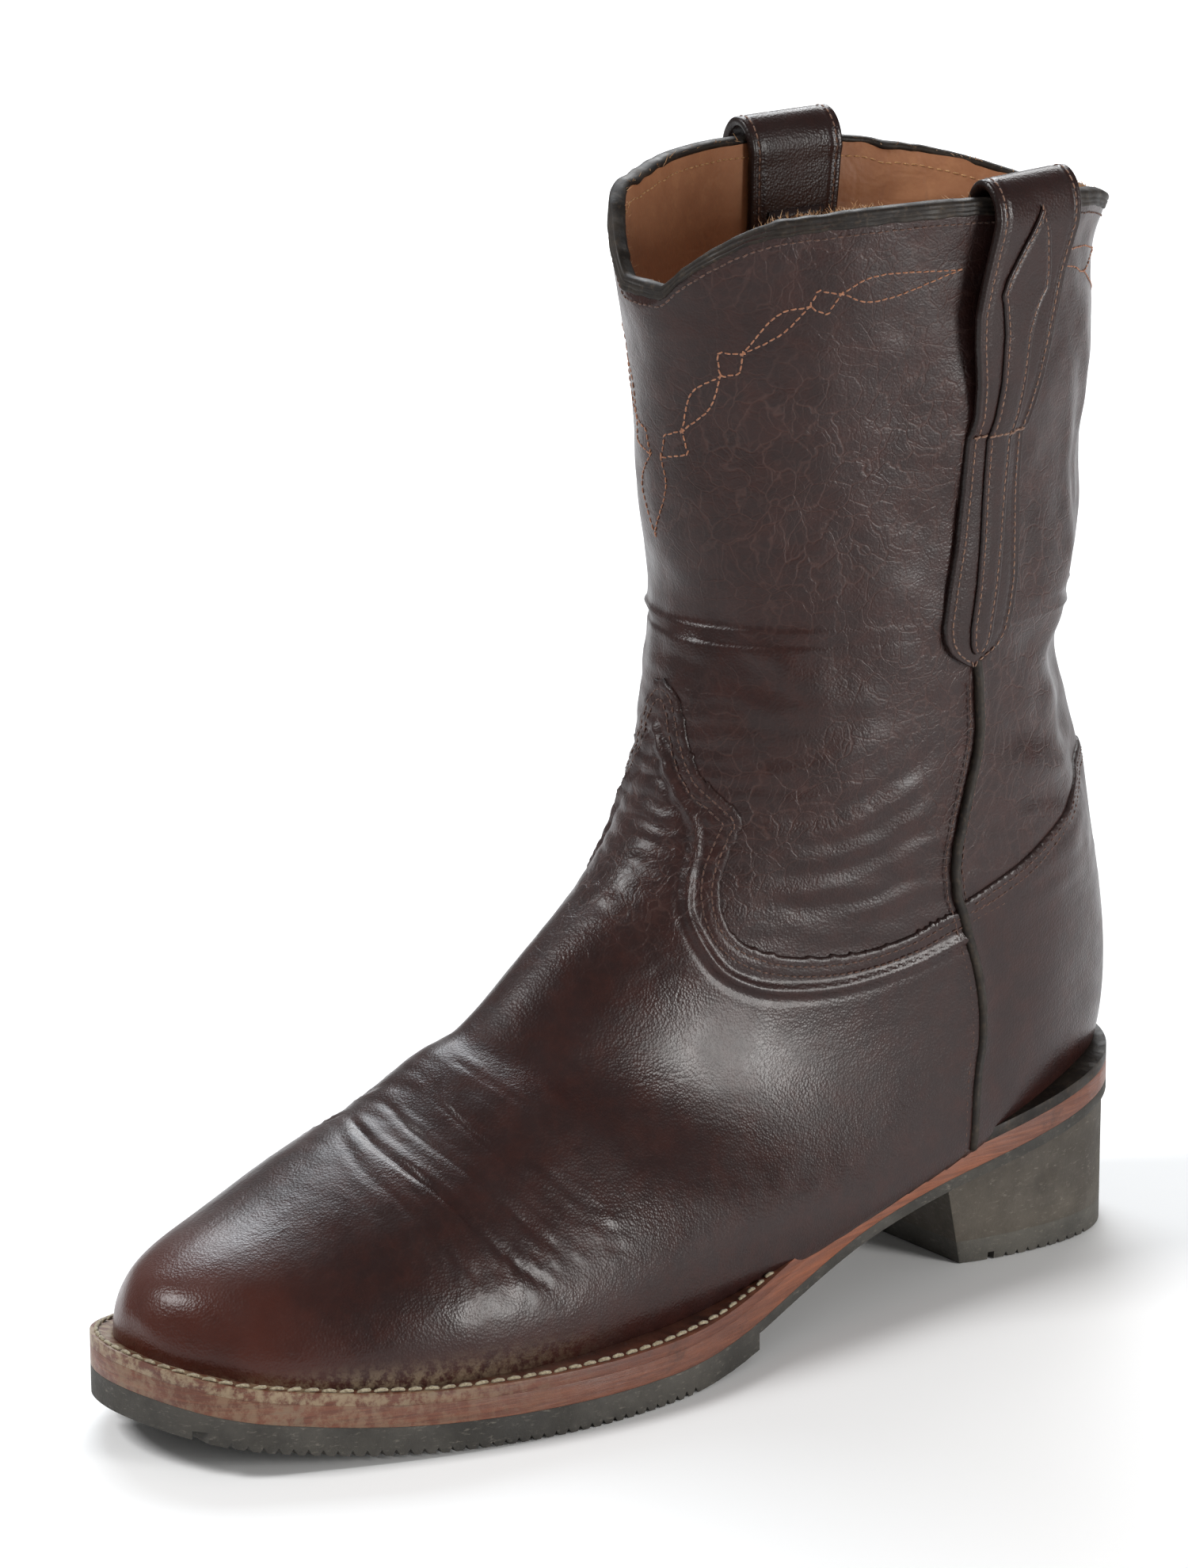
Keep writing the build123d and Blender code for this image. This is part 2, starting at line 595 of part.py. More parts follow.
def strap_overlay(side, loop):
    """Raised diamond of leather stitched on the outer leg of a loop."""
    lift = (STRAP_THICK + OVERLAY_THICK) / 2
    with BuildPart() as overlay:
        with BuildSketch(STRAP_PLANE):
            with BuildLine():
                Spline(*[(side * (x + lift), up) for x, up in OUTER_LEG])
            trace(line_width=OVERLAY_THICK)
        extrude(amount=STRAP_WIDTH / 2, both=True)
        with BuildSketch(Plane(origin=STRAP_PLANE.origin, x_dir=STRAP_PLANE.z_dir,
                               z_dir=(-1, 0, 0))):
            with BuildLine():
                Polyline(*OVERLAY_DIAMOND, close=True)
            make_face()
        extrude(amount=BIG, both=True, mode=Mode.INTERSECT)
        add(loop, mode=Mode.SUBTRACT)
    return overlay.part


def tail_overlay(side):
    """Narrow raised strip down the middle of a sewn tail."""
    top_z = HINGE_Z - 1.5
    foot_z = TAIL_FOOT_Z + 6.5
    foot_y = seam_z_to_y(foot_z)
    with BuildPart() as strip:
        with BuildSketch(Plane.YZ):
            with BuildLine():
                Polyline((HINGE_Y - 3.4, top_z), (foot_y - 5.2, foot_z + 4), (foot_y, foot_z),
                         (foot_y + 5.2, foot_z + 4), (HINGE_Y + 3.4, top_z), close=True)
            make_face()
        extrude(amount=BIG * side)
        add(overlay_form, mode=Mode.INTERSECT)
        add(strap_form, mode=Mode.SUBTRACT)
    return strip.part


pull_strap_lateral = strap_loop(1)
pull_strap_medial = strap_loop(-1)
strap_overlay_lateral = strap_overlay(1, pull_strap_lateral)
strap_overlay_medial = strap_overlay(-1, pull_strap_medial)
tail_overlay_lateral = tail_overlay(1)
tail_overlay_medial = tail_overlay(-1)
strap_tail_lateral = strap_tail(1)
strap_tail_medial = strap_tail(-1)

os.makedirs("parts", exist_ok=True)
nodes = {
    "vamp": vamp.part,
    "shaft_front_panel": shaft_front_panel.part,
    "shaft_back_panel": shaft_back_panel.part,
    "heel_counter_cover": heel_counter_cover.part,
    "side_piping_lateral": piping_lateral,
    "side_piping_medial": piping_medial,
    "top_binding_front": top_binding_front.part,
    "top_binding_back": top_binding_back.part,
    "toe_box": toe_box.part,
    "heel_counter": heel_counter.part,
    "vamp_lining": vamp_lining.part,
    "shaft_lining_front": shaft_lining_front.part,
    "shaft_lining_back": shaft_lining_back.part,
    "shank": shank.part,
    "cork_filler": cork_filler.part,
    "insole": insole.part,
    "sock_lining": sock_lining.part,
    "welt": welt.part,
    "heel_rand": heel_rand.part,
    "midsole": midsole.part,
    "welt_stitches": welt_stitches.part,
    "outsole": outsole.part,
    "heel_block": heel_block.part,
    "heel_top_lift": heel_top_lift.part,
    "heel_nails": heel_nails.part,
    "pull_strap_lateral": pull_strap_lateral,
    "pull_strap_medial": pull_strap_medial,
    "strap_tail_lateral": strap_tail_lateral,
    "strap_tail_medial": strap_tail_medial,
    "strap_overlay_lateral": strap_overlay_lateral,
    "strap_overlay_medial": strap_overlay_medial,
    "tail_overlay_lateral": tail_overlay_lateral,
    "tail_overlay_medial": tail_overlay_medial,
}
for name, part in nodes.items():
    part.label = name
    export_step(part, f"parts/{name}.step")
    box = part.bounding_box()
    print(f"{name:22s} solids {len(part.solids()):3d}  volume {part.volume:10.1f}  "
          f"x {box.min.X:7.1f} {box.max.X:7.1f}  y {box.min.Y:7.1f} {box.max.Y:7.1f}  "
          f"z {box.min.Z:7.1f} {box.max.Z:7.1f}")
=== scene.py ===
"""Looks of a left roper boot: leather panels, linings, straps, stitching and a welted sole.

The shape is taken from the CAD nodes: rays are cast onto them, and the finer forms are built
on what they hit. Curves on the leather are given in millimetres in the frame of the part.
"""
import math

import bmesh
import bpy
import numpy as np
from mathutils import Matrix, Vector, noise
from mathutils.bvhtree import BVHTree
from mathutils.kdtree import KDTree


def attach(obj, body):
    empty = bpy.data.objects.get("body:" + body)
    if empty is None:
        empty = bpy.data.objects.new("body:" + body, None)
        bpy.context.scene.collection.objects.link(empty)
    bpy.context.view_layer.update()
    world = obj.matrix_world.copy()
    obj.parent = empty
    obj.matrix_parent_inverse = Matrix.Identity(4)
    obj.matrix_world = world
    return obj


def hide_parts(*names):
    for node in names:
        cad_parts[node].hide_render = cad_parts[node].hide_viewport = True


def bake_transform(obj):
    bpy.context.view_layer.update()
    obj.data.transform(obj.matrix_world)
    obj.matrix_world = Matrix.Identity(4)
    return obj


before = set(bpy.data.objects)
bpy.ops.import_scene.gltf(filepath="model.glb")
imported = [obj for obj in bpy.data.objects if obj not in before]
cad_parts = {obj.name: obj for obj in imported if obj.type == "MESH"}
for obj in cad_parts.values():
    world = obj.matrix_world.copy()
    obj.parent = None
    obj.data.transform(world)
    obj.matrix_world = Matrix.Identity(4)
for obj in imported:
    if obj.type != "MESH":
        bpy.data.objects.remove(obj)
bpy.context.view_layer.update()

MM = 0.001
RNG = np.random.default_rng(7)
OUTER_NODES = ("vamp", "shaft_front_panel", "shaft_back_panel", "heel_counter_cover",
               "top_binding_front", "top_binding_back", "side_piping_lateral", "side_piping_medial")
LINING_DEPTH = 3.6       # from the outer leather to the lining's face
PANEL_LIFT = 0.9         # a panel sewn over another stands this proud
EDGE_ROUND = 0.8         # a sewn edge rolls over within this width
HIDDEN_EDGE = 5          # cells of the upper that reach down behind the welt

# Planes across the upper, each from a front point to a back point of the side view (y, z, y, z).
PLANES = [(-112, 290, 40, 290), (-104.7, 225, 28, 225), (-99.5, 178, 21, 175), (-102.5, 158, 18, 152),
          (-107.2, 138, 25, 128), (-114.7, 121.5, 32, 100), (-127.1, 109.2, 35.2, 74),
          (-140.5, 98.7, 34.4, 48), (-153.1, 88.5, 18, 26), (-167.4, 79.8, -55, 8),
          (-183.3, 71.6, -130, 2), (-203, 63.4, -195, 2), (-235, 51, -235, 4)]
SHAFT_PLANES = 2         # rows between the planes before this index are stretched up to the top line
TOE_CENTRE = (3.0, -235.0, 29.0)
SHAFT_HALF_WIDTH, FOOT_HALF_WIDTH = 48.0, 45.0
RAY_START = 160          # rays start this far out and are cast inwards
SIDE_REACH = 120
SIDES = ((1, "lateral"), (-1, "medial"))

# Curves on the lateral side, x, y, z; the medial side is their mirror image.
VAMP_EDGE = [(0, -101, 164), (4.5, -101, 162), (7.5, -101.5, 157), (11, -102, 148), (14.4, -101, 141.7),
             (19, -98, 137), (23, -95, 131.4), (21.8, -97, 125), (21, -100, 118), (22, -101.5, 111),
             (25, -100, 103.5), (28, -93, 98.2), (31, -82, 95), (34, -66.5, 94), (36, -52, 96),
             (37.6, -39, 100), (37.8, -24, 104)]
BEAD_LINE = [(0, -104, 152), (4, -104, 146), (9, -105, 138), (14.5, -104, 131), (15.5, -104, 125),
             (16, -107, 117.5), (19, -109.5, 108.5), (24, -105, 96), (28.5, -96, 89.5), (32, -84, 86.8),
             (34, -70, 86), (36, -52, 88), (37, -38, 91.5), (37, -30, 94)]
SIDE_SEAM = [(-29, 300), (-31, 260), (-35, 230), (-37, 200), (-37.5, 180), (-34.5, 163), (-33, 146),
             (-36, 132), (-39.2, 118), (-38.8, 107), (-35.2, 96.5), (-29.5, 79), (-28, 65),
             (-30, 52), (-31, 36), (-31, 20)]
COUNTER_EDGE = [(-45, 99), (-34.5, 102.7), (-13.6, 110), (0, 116), (11, 122.5), (24, 127), (60, 129)]


# ---------------------------------------------------------------- small helpers
def smoothstep(low, high, value):
    """0 below low, 1 above high, smooth between."""
    t = np.clip((value - low) / (high - low), 0.0, 1.0)
    return t * t * (3 - 2 * t)


def catmull(points, spacing):
    """Points along a smooth curve through the given ones, about `spacing` apart."""
    points = np.asarray(points, float)
    ends = np.vstack([2 * points[0] - points[1], points, 2 * points[-1] - points[-2]])
    out = []
    for a, b, c, d in zip(ends, ends[1:], ends[2:], ends[3:]):
        steps = max(2, int(np.linalg.norm(c - b) / (spacing * 0.5)))
        t = np.linspace(0, 1, steps, endpoint=False)[:, None]
        out.append(0.5 * (2 * b + (c - a) * t + (2 * a - 5 * b + 4 * c - d) * t ** 2
                          + (3 * b - a - 3 * c + d) * t ** 3))
    return resample(np.vstack(out + [points[-1:]]), spacing)


def interp_rows(at, positions, table):
    """Every column of a table read at some places between its rows."""
    return np.stack([np.interp(at, positions, column) for column in np.asarray(table, float).T], -1)


def unit(vectors):
    """The same vectors with length one."""
    return vectors / np.maximum(np.linalg.norm(vectors, axis=-1, keepdims=True), 1e-9)


def resample(line, spacing):
    """The same polyline with evenly spaced points."""
    steps = np.linalg.norm(np.diff(line, axis=0), axis=1)
    along = np.concatenate([[0], np.cumsum(steps)])
    count = max(2, int(round(along[-1] / spacing)) + 1)
    return interp_rows(np.linspace(0, along[-1], count), along, line)


def blur(values, sigma, axis, wrap=False):
    """Gaussian blur along one axis that ignores missing values."""
    reach = int(3 * sigma) + 1
    kernel = np.exp(-0.5 * (np.arange(-reach, reach + 1) / sigma) ** 2)
    good = np.isfinite(values)
    filled = np.where(good, values, 0.0)
    total = np.zeros_like(filled)
    weight = np.zeros_like(filled)
    size = values.shape[axis]
    for offset, k in zip(range(-reach, reach + 1), kernel):
        index = np.arange(size) + offset
        index = index % size if wrap else np.clip(index, 0, size - 1)
        total += k * np.take(filled, index, axis)
        weight += k * np.take(good.astype(float), index, axis)
    return np.where(weight > 1e-6, total / np.maximum(weight, 1e-6), np.nan)


def ring_quads(rows, columns):
    """Quads of a grid that is closed round its columns."""
    index = np.arange(rows * columns).reshape(rows, columns)
    after = np.roll(index, -1, axis=1)
    return np.stack([index[:-1], after[:-1], after[1:], index[1:]], -1).reshape(-1, 4)


def new_object(name, verts, faces, material, colors=None):
    """Mesh object from millimetre vertices; colors are named per-vertex values from 0 to 1."""
    mesh = bpy.data.meshes.new(name)
    mesh.from_pydata((np.asarray(verts) * MM).tolist(), [], [list(map(int, face)) for face in faces])
    mesh.validate()
    shape = bmesh.new()
    shape.from_mesh(mesh)
    bmesh.ops.recalc_face_normals(shape, faces=shape.faces)
    shape.to_mesh(mesh)
    shape.free()
    mesh.polygons.foreach_set("use_smooth", [True] * len(mesh.polygons))
    for key, values in (colors or {}).items():
        layer = mesh.attributes.new(key, "FLOAT", "POINT")
        layer.data.foreach_set("value", np.asarray(values, np.float32))
    mesh.materials.append(material)
    item = bpy.data.objects.new(name, mesh)
    bpy.context.scene.collection.objects.link(item)
    return item


def node_mesh(names):
    """Vertices in millimetres and triangles of several CAD nodes together."""
    verts, tris, start = [], [], 0
    for name in names:
        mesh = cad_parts[name].data
        mesh.calc_loop_triangles()
        co = np.empty(len(mesh.vertices) * 3)
        mesh.vertices.foreach_get("co", co)
        tri = np.empty(len(mesh.loop_triangles) * 3, int)
        mesh.loop_triangles.foreach_get("vertices", tri)
        verts.append(co.reshape(-1, 3) / MM)
        tris.append(tri.reshape(-1, 3) + start)
        start += len(verts[-1])
    return np.vstack(verts), np.vstack(tris)


def tree_of(verts, faces):
    """Ray-casting tree of a mesh."""
    return BVHTree.FromPolygons([tuple(v) for v in verts], [tuple(map(int, f)) for f in faces])


# ---------------------------------------------------------------- the upper's surface
COLUMNS = 384            # column 0 runs down the middle of the back
SHAFT_ROWS = 118
FOOT_ROWS = 190
TOE_ROWS = 46


def top_height():
    """Height of the top line as a function of y, from the binding's CAD nodes."""
    verts, _ = node_mesh(("top_binding_front", "top_binding_back"))
    bins = np.arange(-115, 45, 2.0)
    heights = np.array([verts[abs(verts[:, 1] - y) < 3, 2].max(initial=-1) for y in bins])
    good = heights > 0
    return lambda y: np.interp(y, bins[good], heights[good])


def ray_grid():
    """Origins and directions of the rays that find the upper, row by row from the mouth to the toe tip."""
    planes = np.array(PLANES, float)
    angle = np.pi + 2 * np.pi * np.arange(COLUMNS) / COLUMNS
    along, across = np.cos(angle), np.sin(angle)
    order = np.arange(len(planes))
    shaft = interp_rows(np.linspace(0, SHAFT_PLANES, SHAFT_ROWS, endpoint=False), order, planes)
    foot = interp_rows(np.linspace(SHAFT_PLANES, len(planes) - 1, FOOT_ROWS), order, planes)
    foot = blur(foot, 5, 0)
    origins, directions = [], []
    top = top_height()
    low = shaft[-1]
    for row, (fy, fz, by, bz) in enumerate(shaft):
        share = 1 - row / (SHAFT_ROWS - 1.0)
        middle_y = (fy + by) / 2
        reach_y = middle_y - along * (by - fy) / 2
        base = low[1] + (low[3] - low[1]) * (reach_y - low[0]) / (low[2] - low[0])
        z = base + share * (top(reach_y) - base)
        origins.append(np.column_stack([np.zeros(COLUMNS), np.full(COLUMNS, middle_y), z]))
        directions.append(np.column_stack([across * SHAFT_HALF_WIDTH, -along * (by - fy) / 2,
                                           np.zeros(COLUMNS)]))
    for fy, fz, by, bz in foot:
        middle = np.array([0, fy + 0.52 * (by - fy), fz + 0.52 * (bz - fz)])
        chord = np.array([0, by - fy, bz - fz])
        origins.append(np.tile(middle, (COLUMNS, 1)))
        sideways = across[:, None] * np.array([[FOOT_HALF_WIDTH, 0, 0]])
        directions.append(sideways - along[:, None] * chord * 0.5)
    last_middle = origins[-1][0]
    for row in range(1, TOE_ROWS + 1):
        turn = math.pi / 2 * row / (TOE_ROWS + 0.6)
        share = row / TOE_ROWS
        middle = last_middle * (1 - share) + np.array(TOE_CENTRE) * share
        radial = directions[FOOT_ROWS + SHAFT_ROWS - 1] * np.array([0.9, 1, 1])
        origins.append(np.tile(middle, (COLUMNS, 1)))
        directions.append(radial * math.cos(turn) + np.array([[0, -40.0, 0]]) * math.sin(turn))
    origins, directions = np.array(origins), np.array(directions)
    return origins, directions / np.linalg.norm(directions, axis=2, keepdims=True)


def grown(mask, steps):
    """The mask widened by some cells each way."""
    wide = mask.copy()
    for _ in range(steps):
        wide[1:] |= wide[:-1].copy()
        wide[:-1] |= wide[1:].copy()
        wide |= np.roll(wide, 1, 1) | np.roll(wide, -1, 1)
    return wide


def cast_upper():
    """Smoothed grid of points on the CAD upper, and the mask of those that aren't behind the sole."""
    origins, directions = ray_grid()
    leather = tree_of(*node_mesh(OUTER_NODES))
    sole = tree_of(*node_mesh(("midsole",)))
    reach = np.full(origins.shape[:2], np.nan)
    held = np.zeros(origins.shape[:2], bool)
    for row in range(len(origins)):
        for column in range(COLUMNS):
            direction = Vector(directions[row, column])
            start = Vector(origins[row, column]) + direction * RAY_START
            hit = leather.ray_cast(start, -direction, RAY_START)
            if hit[0] is None:
                continue
            reach[row, column] = RAY_START - hit[3]
            under = sole.ray_cast(start, -direction, RAY_START)
            held[row, column] = under[0] is None or under[3] > hit[3]
    held = grown(held, HIDDEN_EDGE) & np.isfinite(reach)
    smooth = blur(blur(reach, 1.3, 0), 1.6, 1, wrap=True)
    wide = blur(blur(smooth, 6.0, 0), 6.0, 1, wrap=True)
    smooth = np.where(np.isfinite(smooth), smooth, wide)
    from_bend = abs(np.arange(len(reach)) - (SHAFT_ROWS + FOOT_ROWS - 1))
    keep = smoothstep(4, 16, from_bend)[:, None]
    smooth = np.where(held, keep * smooth + (1 - keep) * np.nan_to_num(reach), smooth)
    return origins + directions * smooth[:, :, None], held


def grid_normals(points):
    """Outward normals of the closed grid."""
    around = np.roll(points, -1, 1) - np.roll(points, 1, 1)
    down = np.gradient(points, axis=0)
    normal = unit(np.cross(around, down))
    centre = np.nanmean(points, axis=1, keepdims=True)
    flip = np.sign(np.nansum(normal * (points - centre), axis=2, keepdims=True))
    return normal * np.where(np.nanmean(flip) < 0, -1, 1)


class Surface:
    """A skin with its normals, to lay curves, stitches and strips on."""

    def __init__(self, points, normals, held):
        self.points, self.normals, self.held = points, normals, held
        self.rows, self.columns = held.shape
        quads = ring_quads(self.rows, self.columns)
        flat = np.where(np.isfinite(points), points, 0).reshape(-1, 3)
        self.quads = quads[held.reshape(-1)[quads].all(1)]
        self.flat, self.flat_normals = flat, normals.reshape(-1, 3)
        self.tree = tree_of(flat, self.quads)
        self.near = KDTree(len(flat))
        for k, point in enumerate(flat):
            self.near.insert(point, k)
        self.near.balance()

    def index(self, point):
        """Row and column of the grid point nearest to a point."""
        return divmod(self.near.find(Vector(point))[1], self.columns)

    def snap(self, line, lift=0.0):
        """Points of a line moved onto the skin and raised, with the normals there."""
        spots, normals = [], []
        for point in line:
            k = self.near.find(Vector(point))[1]
            place, face_normal, _, _ = self.tree.find_nearest(Vector(point))
            normal = Vector(self.flat_normals[k])
            if face_normal.dot(normal) < 0:
                face_normal = -face_normal
            normal = (normal + face_normal).normalized()
            spots.append(np.array(place) + np.array(normal) * lift)
            normals.append(np.array(normal))
        return np.array(spots), np.array(normals)


def mirrored(line):
    """A curve of the lateral side on the medial side."""
    return np.asarray(line, float) * np.array([-1.0, 1.0, 1.0])


def both_sides(line):
    """A curve from the medial side over the middle to the lateral side."""
    return np.vstack([mirrored(line)[::-1], np.asarray(line, float)[1:]])


def line_distance(points, line):
    """Distance of every point to a polyline, and the place along it in millimetres."""
    best = np.full(len(points), 1e9)
    place = np.zeros(len(points))
    walked = 0.0
    for a, b in zip(line, line[1:]):
        step = b - a
        length = np.linalg.norm(step)
        t = np.clip((points - a) @ step / length ** 2, 0, 1)
        gap = np.linalg.norm(points - a - t[:, None] * step, axis=1)
        closer = gap < best
        best[closer] = gap[closer]
        place[closer] = walked + t[closer] * length
        walked += length
    return best, place


def side_of(points, line):
    """Signed distance in side view (y, z): positive on the right of the line's direction."""
    flat = points[:, 1:3]
    line = np.asarray(line, float)
    best = np.full(len(flat), 1e9)
    sign = np.ones(len(flat))
    for a, b in zip(line, line[1:]):
        step = b - a
        t = np.clip((flat - a) @ step / (step @ step), 0, 1)
        away = flat - a - t[:, None] * step
        gap = np.linalg.norm(away, axis=1)
        closer = gap < best
        best[closer] = gap[closer]
        sign[closer] = np.sign(step[0] * away[closer, 1] - step[1] * away[closer, 0])
    return -best * sign


# Folds: (x, y, z) points, half width and depth. Negative depth is a ridge.
FOLDS = [
    ([(-14, -193, 66), (12, -199, 63.5), (36, -193, 53), (47, -184, 41), (51, -171, 28)], 1.05, 0.78),
    ([(-10, -186, 70), (14, -190, 68), (34, -184, 58), (46, -173, 43), (51, -160, 30)], 0.93, 0.48),
    ([(-6, -200, 62), (16, -206, 60), (38, -201, 47), (47, -192, 33)], 0.93, 0.42),
    ([(4, -180, 73), (22, -180, 69), (38, -172, 57), (47, -160, 43)], 0.87, 0.36),
    ([(10, -212, 58), (30, -210, 51), (42, -204, 38)], 0.87, 0.3),
    ([(30, -172, 63), (42, -160, 50), (50, -151, 29)], 0.81, 0.3),
    ([(0, -170, 78), (16, -168, 76), (30, -160, 68)], 0.99, 0.24),
    ([(-34, -190, 45), (-22, -196, 58), (-10, -193, 66)], 0.99, 0.54),
    ([(-36, -178, 40), (-26, -184, 58), (-8, -182, 70)], 0.99, 0.42),
    ([(-13, -98, 188), (4, -104, 186), (22, -98, 180), (36, -78, 172), (42, -58, 168)], 6, 0.35),
    ([(-13, -98, 178), (6, -104, 177), (20, -98, 174), (30, -86, 166)], 2.2, 0.15),
    ([(-8, -100, 170), (10, -102, 170), (22, -96, 168), (36, -78, 158), (41, -60, 156)], 3, 0.28),
    ([(18, -99, 160), (26, -92, 155), (36, -76, 154), (41, -58, 158)], 2.6, 0.31),
    ([(22, -98, 146), (30, -86, 143), (38, -66, 147), (40, -50, 155)], 2.4, -0.31),
    ([(24, -94, 134), (32, -82, 131), (38, -64, 136), (40, -44, 146)], 2.2, 0.5),
    ([(27, -90, 128), (33, -80, 124), (38, -62, 127), (40, -44, 136)], 1.7, 0.37),
    ([(26, -93, 119), (32, -82, 116), (37, -64, 118), (39, -44, 126)], 1.8, 0.43),
    ([(28, -90, 110), (33, -80, 107), (37, -64, 108), (38, -46, 113)], 1.6, 0.31),
    ([(40, -26, 170), (36, -6, 163), (28, 8, 158), (14, 18, 156), (0, 20, 155)], 5, 0.9),
    ([(39, -26, 148), (36, -8, 141), (30, 6, 138), (16, 18, 137)], 4, 0.6),
    ([(39, -22, 128), (36, -6, 124), (28, 10, 124)], 3, 0.4),
    ([(34, 2, 248), (31, 5, 222), (29, 6, 196), (27, 8, 176)], 3.5, 0.45),
    ([(26, 14, 240), (24, 14, 214), (22, 14, 188)], 2.6, 0.35),
    ([(42, -62, 262), (44, -60, 236), (42, -66, 210)], 9, 0.4),
    ([(20, -98, 240), (28, -90, 215), (34, -82, 195)], 8, 0.23),
]
MEDIAL_FOLD_SHIFT = np.array([0, 3.0, 2.5])


def fold_heights(points, surface):
    """Depth of all folds at every point; the fold lines are first laid on the surface.

    The folds of the shaft and of the outer side come again on the medial side, a little shifted.
    """
    height = np.zeros(len(points))
    repeated = [fold for fold in FOLDS if fold[0][0][2] > 100 or fold[0][0][0] >= 20]
    medial = [(mirrored(line) + MEDIAL_FOLD_SHIFT, width, depth) for line, width, depth in repeated]
    for folds, share in ((FOLDS, 1.0), (medial, 0.8)):
        for line, width, depth in folds:
            curve, _ = surface.snap(catmull(line, 4.0))
            low, high = curve.min(0) - 4 * width, curve.max(0) + 4 * width
            near = np.all((points > low) & (points < high), axis=1)
            if not near.any():
                continue
            gap, place = line_distance(points[near], curve)
            length = np.linalg.norm(np.diff(curve, axis=0), axis=1).sum()
            fade = smoothstep(0, 0.22, place / length) * smoothstep(0, 0.22, 1 - place / length)
            wobble = 1 + 0.2 * np.sin(place * 0.16 + depth * 9)
            groove = np.exp(-(gap / width) ** 2) - 0.55 * np.exp(-((gap - 2.1 * width) / (0.9 * width)) ** 2)
            height[near] -= share * depth * groove * fade * wobble
    return height


def soft_noise(points, scale, seed):
    """Smooth noise between about -1 and 1 at every point."""
    shift = Vector((seed * 13.1, seed * 7.7, seed * 3.3))
    return np.array([noise.noise(Vector(p) / scale + shift) for p in points])


def build_skin():
    """The worn outer skin of the upper, and the plain one under it."""
    points, held = cast_upper()
    points = np.where(np.isfinite(points), points, np.nanmean(points, axis=(0, 1)))
    points = np.concatenate([points, np.tile(points[-1].mean(0), (1, COLUMNS, 1))])
    held = np.vstack([held, held[-1:]])
    normals = grid_normals(points)
    normals[-1] = normals[-2].mean(0) / np.linalg.norm(normals[-2].mean(0))
    flat = points.reshape(-1, 3)
    plain = Surface(points, normals, held)
    height = fold_heights(flat, plain)
    # loose leather of the shaft, then small wrinkles at the throat, the quarters and the ball
    shaft = smoothstep(95, 150, flat[:, 2]) * smoothstep(0, 14, 290 - flat[:, 2])
    height += shaft * (0.8 * soft_noise(flat, 26.0, 1) + 0.35 * soft_noise(flat, 9.0, 2))
    throat = np.exp(-(((flat[:, 2] - 138) / 26) ** 2 + (flat[:, 0] / 20) ** 2)) * (flat[:, 1] < -85)
    height += throat * 0.3 * np.sin(flat[:, 2] * 1.25 + 2.2 * soft_noise(flat, 9.0, 3))
    quarter = smoothstep(88, 98, flat[:, 2]) * smoothstep(150, 110, flat[:, 2]) * (abs(flat[:, 0]) > 18)
    stretched = flat * np.array([1.0, 0.45, 1.7])
    height += quarter * 0.4 * soft_noise(stretched, 7.0, 4)
    vamp_flex = np.exp(-((flat[:, 1] + 185) / 26) ** 2) * smoothstep(20, 40, flat[:, 2])
    height += vamp_flex * 0.28 * soft_noise(flat * np.array([0.35, 1.5, 1.0]), 4.5, 5)
    # the back seam stands out as a soft ridge
    from_back = np.minimum(np.arange(COLUMNS), COLUMNS - np.arange(COLUMNS))
    ridge = np.tile(np.exp(-(from_back / 3.2) ** 2), len(points)) * smoothstep(160, 215, flat[:, 2])
    height += ridge * 1.6
    raised = points + normals * height.reshape(points.shape[:2])[:, :, None]
    raised[-1] = raised[-1].mean(0)
    raised_normals = grid_normals(raised)
    raised_normals[-1] = normals[-1]
    return Surface(raised, raised_normals, held), plain


skin, plain_skin = build_skin()


# ---------------------------------------------------------------- materials
def srgb(*screen):
    """Linear colour from three screen values between 0 and 255."""
    shares = [value / 255 for value in screen]
    return tuple(((c + 0.055) / 1.055) ** 2.4 if c > 0.04 else c / 12.92 for c in shares) + (1,)


